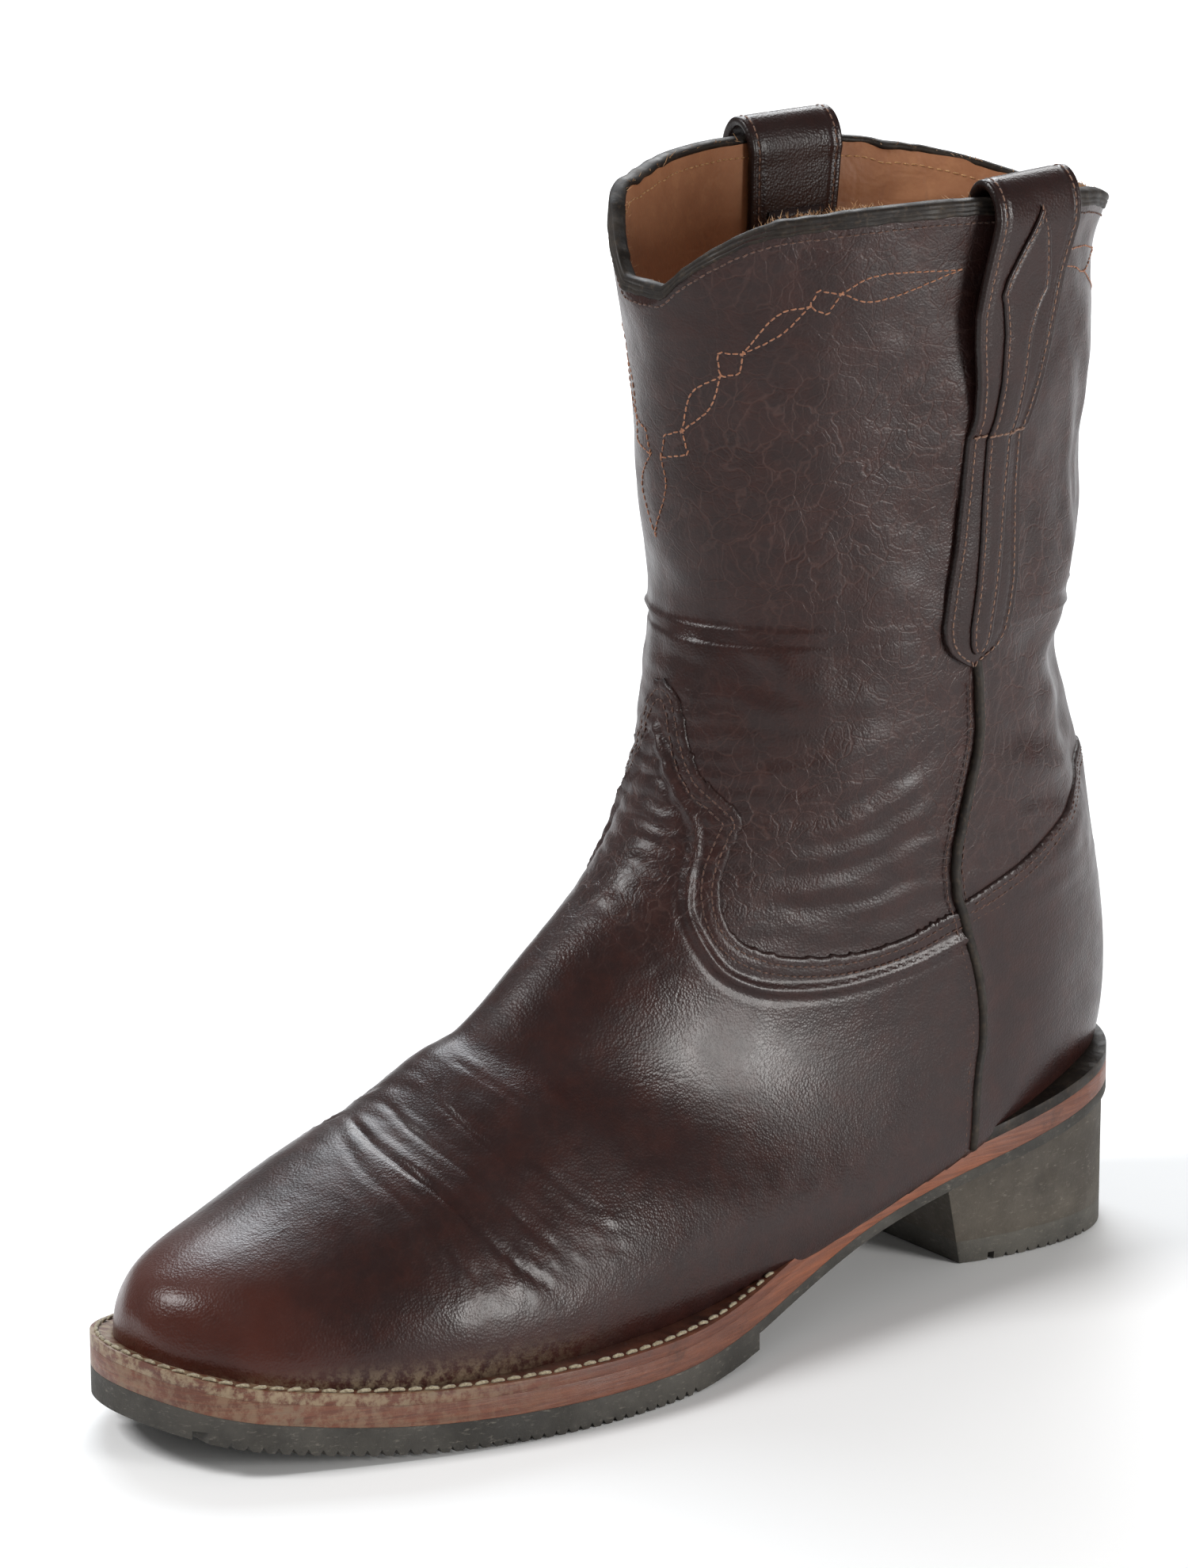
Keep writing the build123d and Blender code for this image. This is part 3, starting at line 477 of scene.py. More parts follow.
class Nodes:
    """A small helper that builds a node material in the part's own coordinates."""

    def __init__(self, name, roughness=0.5, specular=0.5, coat=0.0, coat_roughness=0.3, sheen=0.0):
        self.material = bpy.data.materials.new(name)
        self.material.use_nodes = True
        self.tree = self.material.node_tree
        self.shader = self.tree.nodes["Principled BSDF"]
        self.shader.inputs["Roughness"].default_value = roughness
        self.shader.inputs["Specular IOR Level"].default_value = specular
        self.shader.inputs["Coat Weight"].default_value = coat
        self.shader.inputs["Coat Roughness"].default_value = coat_roughness
        self.shader.inputs["Sheen Weight"].default_value = sheen
        self.place = self.add("ShaderNodeTexCoord").outputs["Object"]

    def add(self, kind, **values):
        """A node with some of its inputs or settings filled in."""
        node = self.tree.nodes.new(kind)
        for key, value in values.items():
            if key in node.inputs:
                self.put(value, node.inputs[key])
            else:
                setattr(node, key, value)
        return node

    def put(self, value, socket):
        """Links an output, or writes a plain value."""
        if isinstance(value, bpy.types.NodeSocket):
            self.tree.links.new(value, socket)
        else:
            socket.default_value = value

    def stretched(self, scale):
        """The part's coordinates, scaled per axis."""
        node = self.add("ShaderNodeMapping", Vector=self.place)
        node.inputs["Scale"].default_value = scale
        return node.outputs["Vector"]

    def noise(self, scale, detail=4.0, rough=0.55, where=None):
        """Noise pattern; scale is in features per metre."""
        return self.add("ShaderNodeTexNoise", Vector=where or self.place, Scale=scale, Detail=detail,
                        Roughness=rough).outputs["Fac"]

    def cells(self, scale, feature="DISTANCE_TO_EDGE", where=None):
        """Cell pattern of leather pores or cracks."""
        return self.add("ShaderNodeTexVoronoi", feature=feature, Vector=where or self.place,
                        Scale=scale).outputs["Distance"]

    def ramp(self, value, low, high, out_low=0.0, out_high=1.0):
        """Maps a range smoothly to another."""
        node = self.add("ShaderNodeMapRange", interpolation_type="SMOOTHSTEP")
        self.put(value, node.inputs["Value"])
        for key, number in (("From Min", low), ("From Max", high), ("To Min", out_low), ("To Max", out_high)):
            node.inputs[key].default_value = number
        return node.outputs["Result"]

    def math(self, operation, a, b):
        """Arithmetic on two values."""
        node = self.add("ShaderNodeMath", operation=operation)
        self.put(a, node.inputs[0])
        self.put(b, node.inputs[1])
        return node.outputs[0]

    def times(self, a, b):
        """Product of two values."""
        return self.math("MULTIPLY", a, b)

    def patches(self, low, high, scale, detail=4.0, rough=0.55):
        """Soft patches: noise with everything below low gone and everything above high full."""
        return self.ramp(self.noise(scale, detail, rough), low, high)

    def mix(self, factor, a, b):
        """Colour between a and b."""
        node = self.add("ShaderNodeMix", data_type="RGBA")
        self.put(factor, node.inputs["Factor"])
        self.put(a, node.inputs["A"])
        self.put(b, node.inputs["B"])
        return next(out for out in node.outputs if out.type == "RGBA")

    def axis(self, name):
        """One coordinate of the part's frame, in metres."""
        return self.add("ShaderNodeSeparateXYZ", Vector=self.place).outputs[name]

    def value(self, name):
        """A per-vertex value painted on the mesh."""
        return self.add("ShaderNodeAttribute", attribute_name=name).outputs["Fac"]

    def bump(self, height, distance, strength=1.0, below=None):
        """Adds relief in metres."""
        node = self.add("ShaderNodeBump", Strength=strength, Distance=distance, Height=height)
        if below:
            self.put(below, node.inputs["Normal"])
        return node.outputs["Normal"]

    def done(self, color, roughness=None, normal=None):
        """Connects the results to the shader."""
        self.put(color, self.shader.inputs["Base Color"])
        if roughness is not None:
            self.put(roughness, self.shader.inputs["Roughness"])
        if normal is not None:
            self.put(normal, self.shader.inputs["Normal"])
        return self.material


def polished_leather(name, base, pale, warm):
    """Dark polished calf: pores, crackle veins, uneven dye, reddish burnish and pale rubbed folds."""
    n = Nodes(name, specular=0.27, coat=0.1, coat_roughness=0.17)
    drift = n.add("ShaderNodeTexNoise", Vector=n.place, Scale=55.0, Detail=3.0).outputs["Color"]
    warp = n.add("ShaderNodeMixRGB", blend_type="ADD", Fac=0.02, Color1=n.place, Color2=drift)
    warped = warp.outputs["Color"]
    veins = n.ramp(n.cells(150.0, where=warped), 0.0, 0.06, 1.0, 0.0)
    fine_veins = n.ramp(n.cells(330.0, where=warped), 0.0, 0.1, 1.0, 0.0)
    shaft_share = n.math("ADD", n.times(n.value("shaft"), 0.88), 0.12)
    worn = n.times(n.patches(0.34, 0.62, 15.0, 3.0), shaft_share)
    veins = n.times(n.math("ADD", veins, n.times(fine_veins, 0.5)), worn)
    color = n.mix(n.times(n.patches(0.35, 0.7, 22.0, 5.0, 0.62), 0.55), base, pale)
    color = n.mix(n.times(n.patches(0.35, 0.75, 140.0, 4.0, 0.7), 0.22), color, warm)
    burnish = n.times(n.value("burnish"), n.ramp(n.noise(45.0, 4.0), 0.3, 0.65, 0.55, 1.0))
    color = n.mix(burnish, color, warm)
    color = n.mix(n.times(veins, 0.3), color, srgb(80, 56, 50))
    dust = n.times(n.value("dust"), n.patches(0.38, 0.62, 420.0, 4.0, 0.7))
    color = n.mix(dust, color, srgb(128, 112, 90))
    color = n.mix(n.value("dark"), color, srgb(20, 12, 10))
    rough = n.ramp(n.noise(60.0, 5.0, 0.6), 0.3, 0.7, 0.27, 0.42)
    rough = n.math("ADD", rough, n.times(n.value("shaft"), 0.07))
    rough = n.math("ADD", rough, n.times(n.value("dust"), 0.35))
    relief = n.bump(n.cells(1500.0, "F1"), 0.0001, 0.7)
    relief = n.bump(n.noise(480.0, 4.0, 0.65), 0.00016, 0.4, relief)
    relief = n.bump(n.times(veins, -1.0), 0.00018, 0.5, relief)
    relief = n.bump(n.noise(95.0, 4.0, 0.55, n.stretched((1.0, 0.6, 1.5))), 0.0009, 0.28, relief)
    return n.done(color, rough, relief)


def lining_leather(name, base, deep):
    """Smooth tan lining: soft mottling, fine creases and painted shade that darkens it deeper in the shaft.
    """
    n = Nodes(name, specular=0.35, sheen=0.08)
    color = n.mix(n.patches(0.32, 0.7, 26.0, 5.0, 0.6), base, deep)
    color = n.mix(n.times(n.patches(0.45, 0.7, 190.0, 5.0, 0.7), 0.35), color, srgb(172, 124, 86))
    # painted shade: the lining is darkened where the "dark" value marks it as lying deep inside the shaft
    color = n.mix(n.times(n.value("dark"), 0.7), color, srgb(86, 55, 36))
    creases = n.times(n.ramp(n.cells(120.0), 0.0, 0.12, 1.0, 0.0), n.value("crease"))
    relief = n.bump(n.cells(900.0, "F1"), 0.00012, 0.5)
    relief = n.bump(n.times(creases, -1.0), 0.0004, 0.5, relief)
    return n.done(color, n.ramp(n.noise(70.0), 0.3, 0.7, 0.48, 0.66), relief)


def edge_leather(name, base, light, roughness=0.5):
    """Painted or burnished leather edge with fine lines along its layers."""
    n = Nodes(name, specular=0.25)
    color = n.mix(n.patches(0.35, 0.72, 110.0, 5.0, 0.65), base, light)
    color = n.mix(n.times(n.patches(0.5, 0.72, 700.0, 3.0, 0.6), 0.5), color, srgb(70, 58, 46))
    relief = n.bump(n.noise(900.0, 4.0, 0.6), 0.0002, 0.5)
    return n.done(color, n.ramp(n.noise(160.0), 0.3, 0.7, roughness - 0.08, roughness + 0.16), relief)


def sole_edge(name, base, light, dark, dusty):
    """Stained sole-leather edge: fibre lines along it, scuffs, a paler waist and dust at the toe."""
    n = Nodes(name, specular=0.4, coat=0.12)
    fibre = n.noise(60.0, 6.0, 0.7, n.stretched((1.0, 1.0, 22.0)))
    color = n.mix(n.ramp(fibre, 0.32, 0.7), base, light)
    color = n.mix(n.times(n.patches(0.52, 0.72, 75.0, 5.0, 0.7), 0.75), color, dark)
    waist = n.times(n.ramp(n.axis("Y"), -0.125, -0.085), n.ramp(n.axis("Y"), -0.01, -0.035))
    pale = n.mix(n.ramp(fibre, 0.35, 0.7), light, srgb(146, 84, 54))
    color = n.mix(n.times(waist, 0.7), color, pale)
    toe = n.ramp(n.axis("Y"), -0.16, -0.25, 0.0, dusty)
    color = n.mix(n.times(toe, n.patches(0.4, 0.6, 300.0, 5.0, 0.7)), color, srgb(140, 122, 97))
    relief = n.bump(fibre, 0.0006, 0.5)
    relief = n.bump(n.noise(900.0, 3.0), 0.0002, 0.4, relief)
    return n.done(color, n.ramp(n.noise(120.0), 0.3, 0.7, 0.4, 0.62), relief)


def rubber(name, base, light):
    """Matt moulded rubber with scuffs, dust and fine pits."""
    n = Nodes(name, specular=0.3)
    color = n.mix(n.patches(0.35, 0.7, 38.0, 6.0, 0.68), base, light)
    scuff = n.ramp(n.noise(420.0, 4.0, 0.7, n.stretched((1.0, 1.0, 3.0))), 0.55, 0.75)
    color = n.mix(n.times(scuff, 0.45), color, srgb(128, 122, 112))
    relief = n.bump(n.noise(1300.0, 4.0, 0.65), 0.00025, 0.6)
    relief = n.bump(n.noise(150.0, 3.0, 0.6), 0.0005, 0.3, relief)
    return n.done(color, n.ramp(n.noise(90.0), 0.3, 0.7, 0.62, 0.82), relief)


def thread(name, base, light):
    """Twisted thread: two tones and a fine twist."""
    n = Nodes(name, specular=0.3, sheen=0.2)
    twist = n.noise(1500.0, 2.0)
    return n.done(n.mix(n.ramp(twist, 0.35, 0.65), base, light), 0.7, n.bump(twist, 0.0002, 0.7))


def plain_layer(name, base, light, scale, roughness=0.7):
    """Hidden layers, such as cork, board and steel: two tones and a grain."""
    n = Nodes(name, specular=0.3)
    grain = n.noise(scale, 5.0, 0.7)
    return n.done(n.mix(n.ramp(grain, 0.38, 0.64), base, light), roughness, n.bump(grain, 0.0004, 0.4))


CALF = polished_leather("polished_calf", srgb(33, 17, 15), srgb(41, 26, 25), srgb(70, 31, 21))
STRAP_CALF = polished_leather("strap_calf", srgb(31, 16, 14), srgb(38, 22, 20), srgb(56, 22, 14))
LINING = lining_leather("tan_lining", srgb(162, 112, 78), srgb(142, 94, 63))
EDGE = edge_leather("dark_edge", srgb(26, 21, 18), srgb(44, 37, 30))
MIDSOLE = sole_edge("midsole_edge", srgb(84, 46, 32), srgb(112, 66, 46), srgb(56, 33, 25), 0.4)
WELT = sole_edge("welt_side", srgb(80, 42, 30), srgb(104, 60, 42), srgb(50, 32, 25), 0.9)
OUTSOLE = rubber("outsole_rubber", srgb(48, 46, 43), srgb(70, 67, 62))
HEEL = rubber("heel_rubber", srgb(62, 57, 51), srgb(84, 78, 70))
TOP_LIFT = rubber("top_lift_rubber", srgb(62, 60, 56), srgb(84, 81, 75))
COPPER_THREAD = thread("copper_thread", srgb(128, 82, 58), srgb(152, 104, 76))
DARK_THREAD = thread("dark_thread", srgb(58, 38, 31), srgb(90, 62, 50))
STRAP_THREAD = thread("strap_thread", srgb(92, 66, 54), srgb(124, 94, 76))
CREAM_THREAD = thread("cream_thread", srgb(128, 116, 94), srgb(160, 150, 126))
FIBRE = thread("frayed_fibre", srgb(150, 104, 62), srgb(190, 146, 98))
CORK = plain_layer("cork", srgb(170, 128, 84), srgb(120, 84, 52), 300.0)
BOARD = plain_layer("stiffener_board", srgb(196, 178, 146), srgb(160, 140, 108), 500.0)
STEEL = plain_layer("spring_steel", srgb(150, 150, 152), srgb(110, 110, 114), 200.0, 0.35)
BRASS = plain_layer("brass", srgb(190, 150, 80), srgb(150, 112, 56), 400.0, 0.35)


# ---------------------------------------------------------------- panels cut from the skin
POSITION, NORMAL = slice(0, 3), slice(3, 6)
VAMP, FRONT, COUNTER = 6, 7, 8


def clip(data, tris, column, limit=0.0, keep_above=True):
    """Part of a triangle mesh where a field passes a limit, cut exactly along that line."""
    value = (data[:, column] - limit) * (1 if keep_above else -1)
    inside = value[tris] >= 0
    count = inside.sum(1)
    made, known, extra = [], {}, []

    def crossing(a, b):
        key = (min(a, b), max(a, b))
        if key not in known:
            known[key] = len(data) + len(made)
            made.append(data[a] + value[a] / (value[a] - value[b]) * (data[b] - data[a]))
        return known[key]

    cut = (count == 1) | (count == 2)
    for tri, within in zip(tris[cut], inside[cut]):
        alone = within.sum() == 1
        first = int(np.argmax(within == alone))
        a, b, c = (int(tri[(first + k) % 3]) for k in range(3))
        ab, ac = crossing(a, b), crossing(a, c)
        extra += [(a, ab, ac)] if alone else [(ab, b, c), (ab, c, ac)]
    faces = np.vstack([tris[count == 3]] + ([np.array(extra)] if extra else []))
    data = np.vstack([data] + ([np.array(made)] if made else []))
    used, faces = np.unique(faces, return_inverse=True)
    return data[used], faces.reshape(-1, 3)


def boundary(faces):
    """Directed edges used by one face only."""
    edges = np.vstack([faces[:, [0, 1]], faces[:, [1, 2]], faces[:, [2, 0]]])
    key = np.sort(edges, 1) @ np.array([edges.max() + 1, 1])
    _, first, count = np.unique(key, return_index=True, return_counts=True)
    return edges[first[count == 1]]


def painted(points):
    """Values the leather materials read: reddish toe burnish, dust at the welt, shaft wear, dark seams."""
    toe = smoothstep(-222, -262, points[:, 1])
    side = smoothstep(34, 20, points[:, 2]) * smoothstep(-110, -200, points[:, 1])
    low = smoothstep(26, 17, points[:, 2]) * smoothstep(-150, -235, points[:, 1])
    return {"burnish": np.clip(0.85 * toe + 0.35 * side, 0, 1), "dust": 0.75 * low,
            "shaft": smoothstep(92, 122, points[:, 2])}


SEAM_ROWS = (2.3, 4.9)       # the two rows of stitches inside a sewn edge
PANEL_DEPTH = 1.7            # the cut edges reach this far down
FAR = 50.0


def panel(name, node, limits, sewn_edge=None):
    """One leather panel, cut from the skin along its limits (field, limit, keep above).

    A panel with a sewn edge lies over its neighbour: it stands proud, rolls over at that edge and
    is pressed in under its rows of stitches.
    """
    flat = np.hstack([skin.flat, skin.flat_normals, FIELDS])
    tris = np.vstack([skin.quads[:, [0, 1, 2]], skin.quads[:, [0, 2, 3]]])
    tris = np.minimum(tris, (skin.rows - 1) * COLUMNS)
    tris = tris[(tris[:, 0] != tris[:, 1]) & (tris[:, 1] != tris[:, 2]) & (tris[:, 2] != tris[:, 0])]
    used, faces = np.unique(tris, return_inverse=True)
    data, faces = flat[used], faces.reshape(-1, 3)
    for column, limit, above in limits:
        data, faces = clip(data, faces, column, limit, above)
    points, normals = data[:, POSITION].copy(), data[:, NORMAL]
    gap = np.full(len(data), FAR)
    rise = np.zeros(len(data))
    if sewn_edge is not None:
        gap = np.minimum(gap, data[:, sewn_edge])
        rise = PANEL_LIFT * (0.35 + 0.65 * np.sqrt(np.clip(gap / EDGE_ROUND, 0, 1)))
        for row_at in SEAM_ROWS:
            rise -= 0.22 * np.exp(-((gap - row_at) / 0.75) ** 2)
    dark = 0.55 * np.exp(-(gap / 0.5) ** 2)
    if node == "vamp":
        bead, _ = line_distance(points, skin.snap(both_sides(catmull(BEAD_LINE, 3.0)))[0])
        rise += 1.0 * np.exp(-(bead / 1.1) ** 2) - 0.35 * np.exp(-((bead - 2.3) / 0.9) ** 2)
    points += normals * rise[:, None]
    rim = boundary(faces)
    ring = np.unique(rim)
    low = points[ring] - normals[ring] * PANEL_DEPTH
    below = {int(v): len(points) + k for k, v in enumerate(ring)}
    walls = [(int(b), int(a), below[int(a)], below[int(b)]) for a, b in rim]
    verts = np.vstack([points, low])
    colors = painted(verts)
    colors["dark"] = np.concatenate([dark, np.full(len(low), 0.8)])
    item = new_object(name, verts, faces.tolist() + walls, CALF, colors)
    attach(item, "boot")
    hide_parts(node)


def in_polygon(rows, columns, polygon):
    """Even-odd test of grid places against a polygon of (row, column)."""
    inside = np.zeros(len(rows), bool)
    for (r1, c1), (r2, c2) in zip(polygon, np.roll(polygon, -1, axis=0)):
        crosses = (c1 > columns) != (c2 > columns)
        if c1 == c2:
            continue
        inside ^= crosses & (rows < (r2 - r1) * (columns - c1) / (c2 - c1) + r1)
    return inside


def panel_fields(edge):
    """Signed distances at every point of the skin, for the limits of the panels.

    They are positive inside the vamp, in front of the side seam and below the counter's edge.
    """
    flat = skin.flat
    places = [plain_skin.index(point) for point in edge]
    bottom, last = skin.rows + 10, COLUMNS - 1
    ends = [(bottom, 0), (places[0][0], 0)], [(places[-1][0], last), (bottom, last)]
    polygon = np.array(ends[0] + places + ends[1], float)
    gap, _ = line_distance(flat, edge)
    rows, columns = np.divmod(np.arange(len(flat)), COLUMNS)
    vamp = np.where(in_polygon(rows, columns, polygon), gap, -gap)
    return np.column_stack([vamp, side_of(flat, SIDE_SEAM), side_of(flat, catmull(COUNTER_EDGE, 3.0))])


VAMP_LINE, _ = skin.snap(both_sides(catmull(VAMP_EDGE, 2.0)))
FIELDS = panel_fields(VAMP_LINE)
panel("shaft_front_leather", "shaft_front_panel", [(FRONT, 0.0, True), (VAMP, 2.5, False)])
panel("shaft_back_leather", "shaft_back_panel", [(FRONT, 0.0, False), (COUNTER, 2.5, False)])
panel("vamp_leather", "vamp", [(VAMP, 0.0, True), (FRONT, 0.0, True)], VAMP)
panel("counter_leather", "heel_counter_cover", [(COUNTER, 0.0, True), (FRONT, 0.0, False)], COUNTER)


# ---------------------------------------------------------------- tubes, strips and stitches
def tangents(line):
    """Unit directions along a polyline."""
    return unit(np.gradient(np.asarray(line, float), axis=0))


def cord(name, line, normals, radius, material, sides=10):
    """A round cord along a line."""
    tangent = tangents(line)
    across = unit(np.cross(tangent, normals))
    up = np.cross(across, tangent)
    angle = 2 * np.pi * np.arange(sides)[:, None] / sides
    verts = line[:, None] + across[:, None] * np.cos(angle) * radius + up[:, None] * np.sin(angle) * radius
    faces = ring_quads(len(line), sides).tolist()
    faces += [tuple(range(sides))[::-1], tuple(range((len(line) - 1) * sides, len(line) * sides))]
    return new_object(name, verts.reshape(-1, 3), faces, material)


def stitch_mesh(spots):
    """Vertices and faces of many stitches: each is (centre, direction, normal, length, width)."""
    rings = [(-0.5, 0.35), (-0.42, 0.8), (0.0, 1.0), (0.42, 0.8), (0.5, 0.35)]   # place, thickness
    sides = 6
    angle = 2 * np.pi * np.arange(sides) / sides
    verts, faces = [], []
    for centre, along, normal, length, width in spots:
        along = unit(along)
        across = unit(np.cross(along, normal))
        up = np.cross(across, along)
        start = len(verts)
        for share, size in rings:
            sink = -0.22 * width * (abs(share) * 2) ** 2
            for a in angle:
                verts.append(centre + along * share * length + across * math.cos(a) * width / 2 * size
                             + up * (math.sin(a) * width * 0.42 * size + sink))
        for ring in range(len(rings) - 1):
            for k in range(sides):
                a, b = start + ring * sides + k, start + ring * sides + (k + 1) % sides
                faces.append((a, b, b + sides, a + sides))
        faces.append(tuple(range(start + sides - 1, start - 1, -1)))
        faces.append(tuple(range(start + (len(rings) - 1) * sides, start + len(rings) * sides)))
    return verts, faces


def stitch_row(line, pitch=2.2, length=1.7, width=0.55, lift=0.12, surface=None):
    """Stitches along a curve laid on the skin, with a little unevenness."""
    surface = surface or skin
    line = resample(np.asarray(line, float), pitch)
    spots, normals = surface.snap(line, lift)
    tangent = tangents(spots)
    jitter = RNG.normal(0, 0.035, (len(spots), 3))
    return [(spot + shift, along + 0.06 * RNG.normal(0, 1, 3), normal, length, width)
            for spot, shift, along, normal in zip(spots, jitter, tangent, normals)]


def stitches(name, spots, material):
    """One piece of the boot that holds many stitches."""
    item = new_object(name, *stitch_mesh(spots), material)
    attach(item, "boot")
    return item


def offset_on_skin(line, distance):
    """A curve moved sideways on the skin; positive is to the left of its direction seen from outside."""
    spots, normals = skin.snap(line)
    side = np.cross(normals, tangents(spots))
    return skin.snap(spots + side * distance)[0]


# ---------------------------------------------------------------- seam piping
def leather_at(side, y, z):
    """Point of the leather's outside at (y, z) in side view, or None where there is none."""
    return plain_skin.tree.ray_cast(Vector((side * SIDE_REACH, y, z)), Vector((-side, 0, 0)), SIDE_REACH)[0]


def on_side(side, curve):
    """A curve of the side view (y, z) laid on the leather of one side."""
    found = [leather_at(side, y, z) for y, z in curve]
    return np.array([tuple(point) for point in found if point is not None])


def seam_on_side(side, low_z, high_z):
    """The side seam on the leather between two heights, from the top down."""
    curve = catmull(SIDE_SEAM, 1.5)
    return on_side(side, curve[(curve[:, 1] >= low_z) & (curve[:, 1] <= high_z)])


for side, word in SIDES:
    seam, seam_normals = skin.snap(seam_on_side(side, 19, 168), 0.75)
    piping = cord(f"piping_{word}", seam, seam_normals, 1.3, EDGE)
    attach(piping, "boot")
    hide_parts(f"side_piping_{word}")


# ---------------------------------------------------------------- top binding and lining
# Section of the binding: out from the leather's top line, and down from it.
TOP_PROFILE = [(0.05, 3.4), (0.32, 3.2), (0.4, 2.6), (0.12, 2.35), (0.4, 2.1), (0.42, 1.35), (0.14, 1.1),
               (0.4, 0.85), (0.32, 0.0), (-0.1, -0.5), (-1.2, -0.75), (-2.6, -0.7), (-3.55, -0.3),
               (-3.85, 0.4), (-3.6, 1.2), (-2.0, 1.6)]


def top_binding():
    """Dark painted band that wraps the top edge, with pressed lines along it."""
    edge = skin.points[0]
    normal = skin.normals[2]
    down = unit(skin.points[4] - skin.points[0])
    wave = 0.12 * np.sin(np.arange(COLUMNS) * 0.9) + 0.1 * np.sin(np.arange(COLUMNS) * 0.37 + 1)
    ring = [edge + normal * out + down * (d + wave[:, None] * (d > 2.0)) for out, d in TOP_PROFILE]
    verts = np.stack(ring, 1)
    index = np.arange(COLUMNS * len(TOP_PROFILE)).reshape(COLUMNS, -1)
    after = np.roll(index, -1, 0)
    faces = np.stack([index, np.roll(index, -1, 1), np.roll(after, -1, 1), after], -1).reshape(-1, 4)
    item = new_object("top_edge_binding", verts.reshape(-1, 3), faces[:, ::-1].tolist(), EDGE)
    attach(item, "boot")
    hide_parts("top_binding_front", "top_binding_back")


FIBRES = 1000


def frayed_fibres():
    """Short pale fibres standing out of the inner edge of the binding."""
    verts, faces = [], []
    for _ in range(FIBRES):
        # most grow at the outer front, some at the middle of the back and few elsewhere
        places = [RNG.integers(200, 262), RNG.integers(360, 392), RNG.integers(0, COLUMNS)]
        column = int(RNG.choice(places, p=[0.55, 0.3, 0.15])) % COLUMNS
        normal, edge = skin.normals[2, column], skin.points[0, column]
        start = edge - normal * (3.9 + RNG.normal(0, 0.35)) + np.array([0, 0, 0.1])
        lean = -normal * RNG.uniform(0.1, 1.0)
        lean = lean + np.array([RNG.normal(0, 0.6), RNG.normal(0, 0.6), RNG.uniform(-0.2, 1)])
        bend = RNG.normal(0, 0.5, 3)
        length = RNG.uniform(0.7, 2.0)
        faces += (ring_quads(4, 3) + len(verts)).tolist()
        for share in np.arange(4) / 3:
            centre = start + lean * length * share + bend * share ** 2
            radius = 0.13 * (1 - 0.75 * share)
            for angle in (0.0, 2.1, 4.2):
                round_it = np.array([math.cos(angle), math.sin(angle), 0.3 * math.cos(angle)])
                verts.append(centre + radius * round_it)
    item = new_object("frayed_fibres", verts, faces, FIBRE)
    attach(item, "boot")


LINED_FOOT_ROWS = 120


def lining():
    """Tan lining inside the shaft and the foot, wrinkled towards the back."""
    rows = SHAFT_ROWS + LINED_FOOT_ROWS
    points, normals = plain_skin.points[:rows], plain_skin.normals[:rows]
    flat = points.reshape(-1, 3)
    back = smoothstep(-40, 5, flat[:, 1]) * smoothstep(0, 25, 280 - flat[:, 2])
    side_ripple = np.sin(flat[:, 2] * 0.55 + 3.0 * soft_noise(flat, 22.0, 11))
    height = back * (0.75 * side_ripple + 0.6 * soft_noise(flat, 9.0, 12)) + 0.35 * soft_noise(flat, 30.0, 13)
    inner = flat - normals.reshape(-1, 3) * (LINING_DEPTH + height)[:, None]
    # painted shade: the "dark" value makes the lining darker from the mouth down into the shaft
    colors = {"crease": 0.2 + 0.8 * back, "dark": 0.5 * smoothstep(235, 175, flat[:, 2])}
    item = new_object("shaft_lining", inner, ring_quads(rows, COLUMNS)[:, ::-1].tolist(), LINING, colors)
    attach(item, "boot")
    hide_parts("shaft_lining_front", "shaft_lining_back", "vamp_lining")
    return Surface(inner.reshape(rows, COLUMNS, 3), -normals, np.ones((rows, COLUMNS), bool))


top_binding()
frayed_fibres()
LINING_SKIN = lining()


# ---------------------------------------------------------------- pull straps
STRAP_THICK = 2.6
OUTER_STATIONS, CROWN_STATIONS, INNER_STATIONS = 90, 24, 44
PAD_Z, PAD_HALF = (238, 268), 8.5
# Outer leg: height, back edge y, front edge y, and how far its middle stands off the leather.
STRAP_LEG = np.array([(165.2, -36.6, -37.4, 0.7), (167.2, -32.5, -41.2, 0.7), (169.8, -27.4, -44.6, 0.7),
                      (173, -25.2, -46.3, 0.7), (177, -24.1, -47, 0.7), (187, -23.1, -46, 0.7),
                      (199, -23.4, -44.3, 0.7), (212, -23.9, -43.4, 0.7), (225, -24, -43, 0.7),
                      (231, -22.6, -42.0, 1.8), (240, -20.9, -43, 3.2), (250, -19, -44.6, 4.1),
                      (258, -17.2, -45, 4.6), (266, -15.6, -43.6, 5.0), (277, -12.4, -41.2, 5.3),
                      (281, -12, -40.4, 5.4)])
CROWN_BASE, CROWN_RISE = 281.0, 8.8
INNER_DEPTH = 5.8        # from the outer leather in to the inner leg
# Inner leg, which hangs inside the lining: height, back edge y, front edge y.
INNER_LEG = np.array([(281, -12, -40.4), (262, -15.5, -42), (240, -19.5, -43.5), (215, -23, -44.5),
                      (206, -25, -43)])
# Places across a strap from -1 to 1, closer together at its edges.
ACROSS = np.array([0, 0.02, 0.045, 0.075, 0.11, 0.14, 0.17, 0.2, 0.24, 0.28, 0.32, 0.4, 0.6, 0.8, 1.0])
ACROSS = np.concatenate([ACROSS - 1, 1 - ACROSS[-2::-1]])
# Raised decoration on the outer leg: height and half width.
OVERLAY = np.array([(168.5, 1.2), (171, 3.0), (175, 3.6), (190, 3.7), (215, 4.0), (240, 4.2), (252, 4.7),
                    (257, 5.8), (260.8, 7.0), (262.2, 8.1), (266.5, 7.6), (271, 6.0), (276, 4.1), (280, 2.2),
                    (283.0, 0.3)])
OVERLAY_END = (282.1, 283.0)
TACK_ROW_Z = 226.0
STRAP_PITCH = 2.1


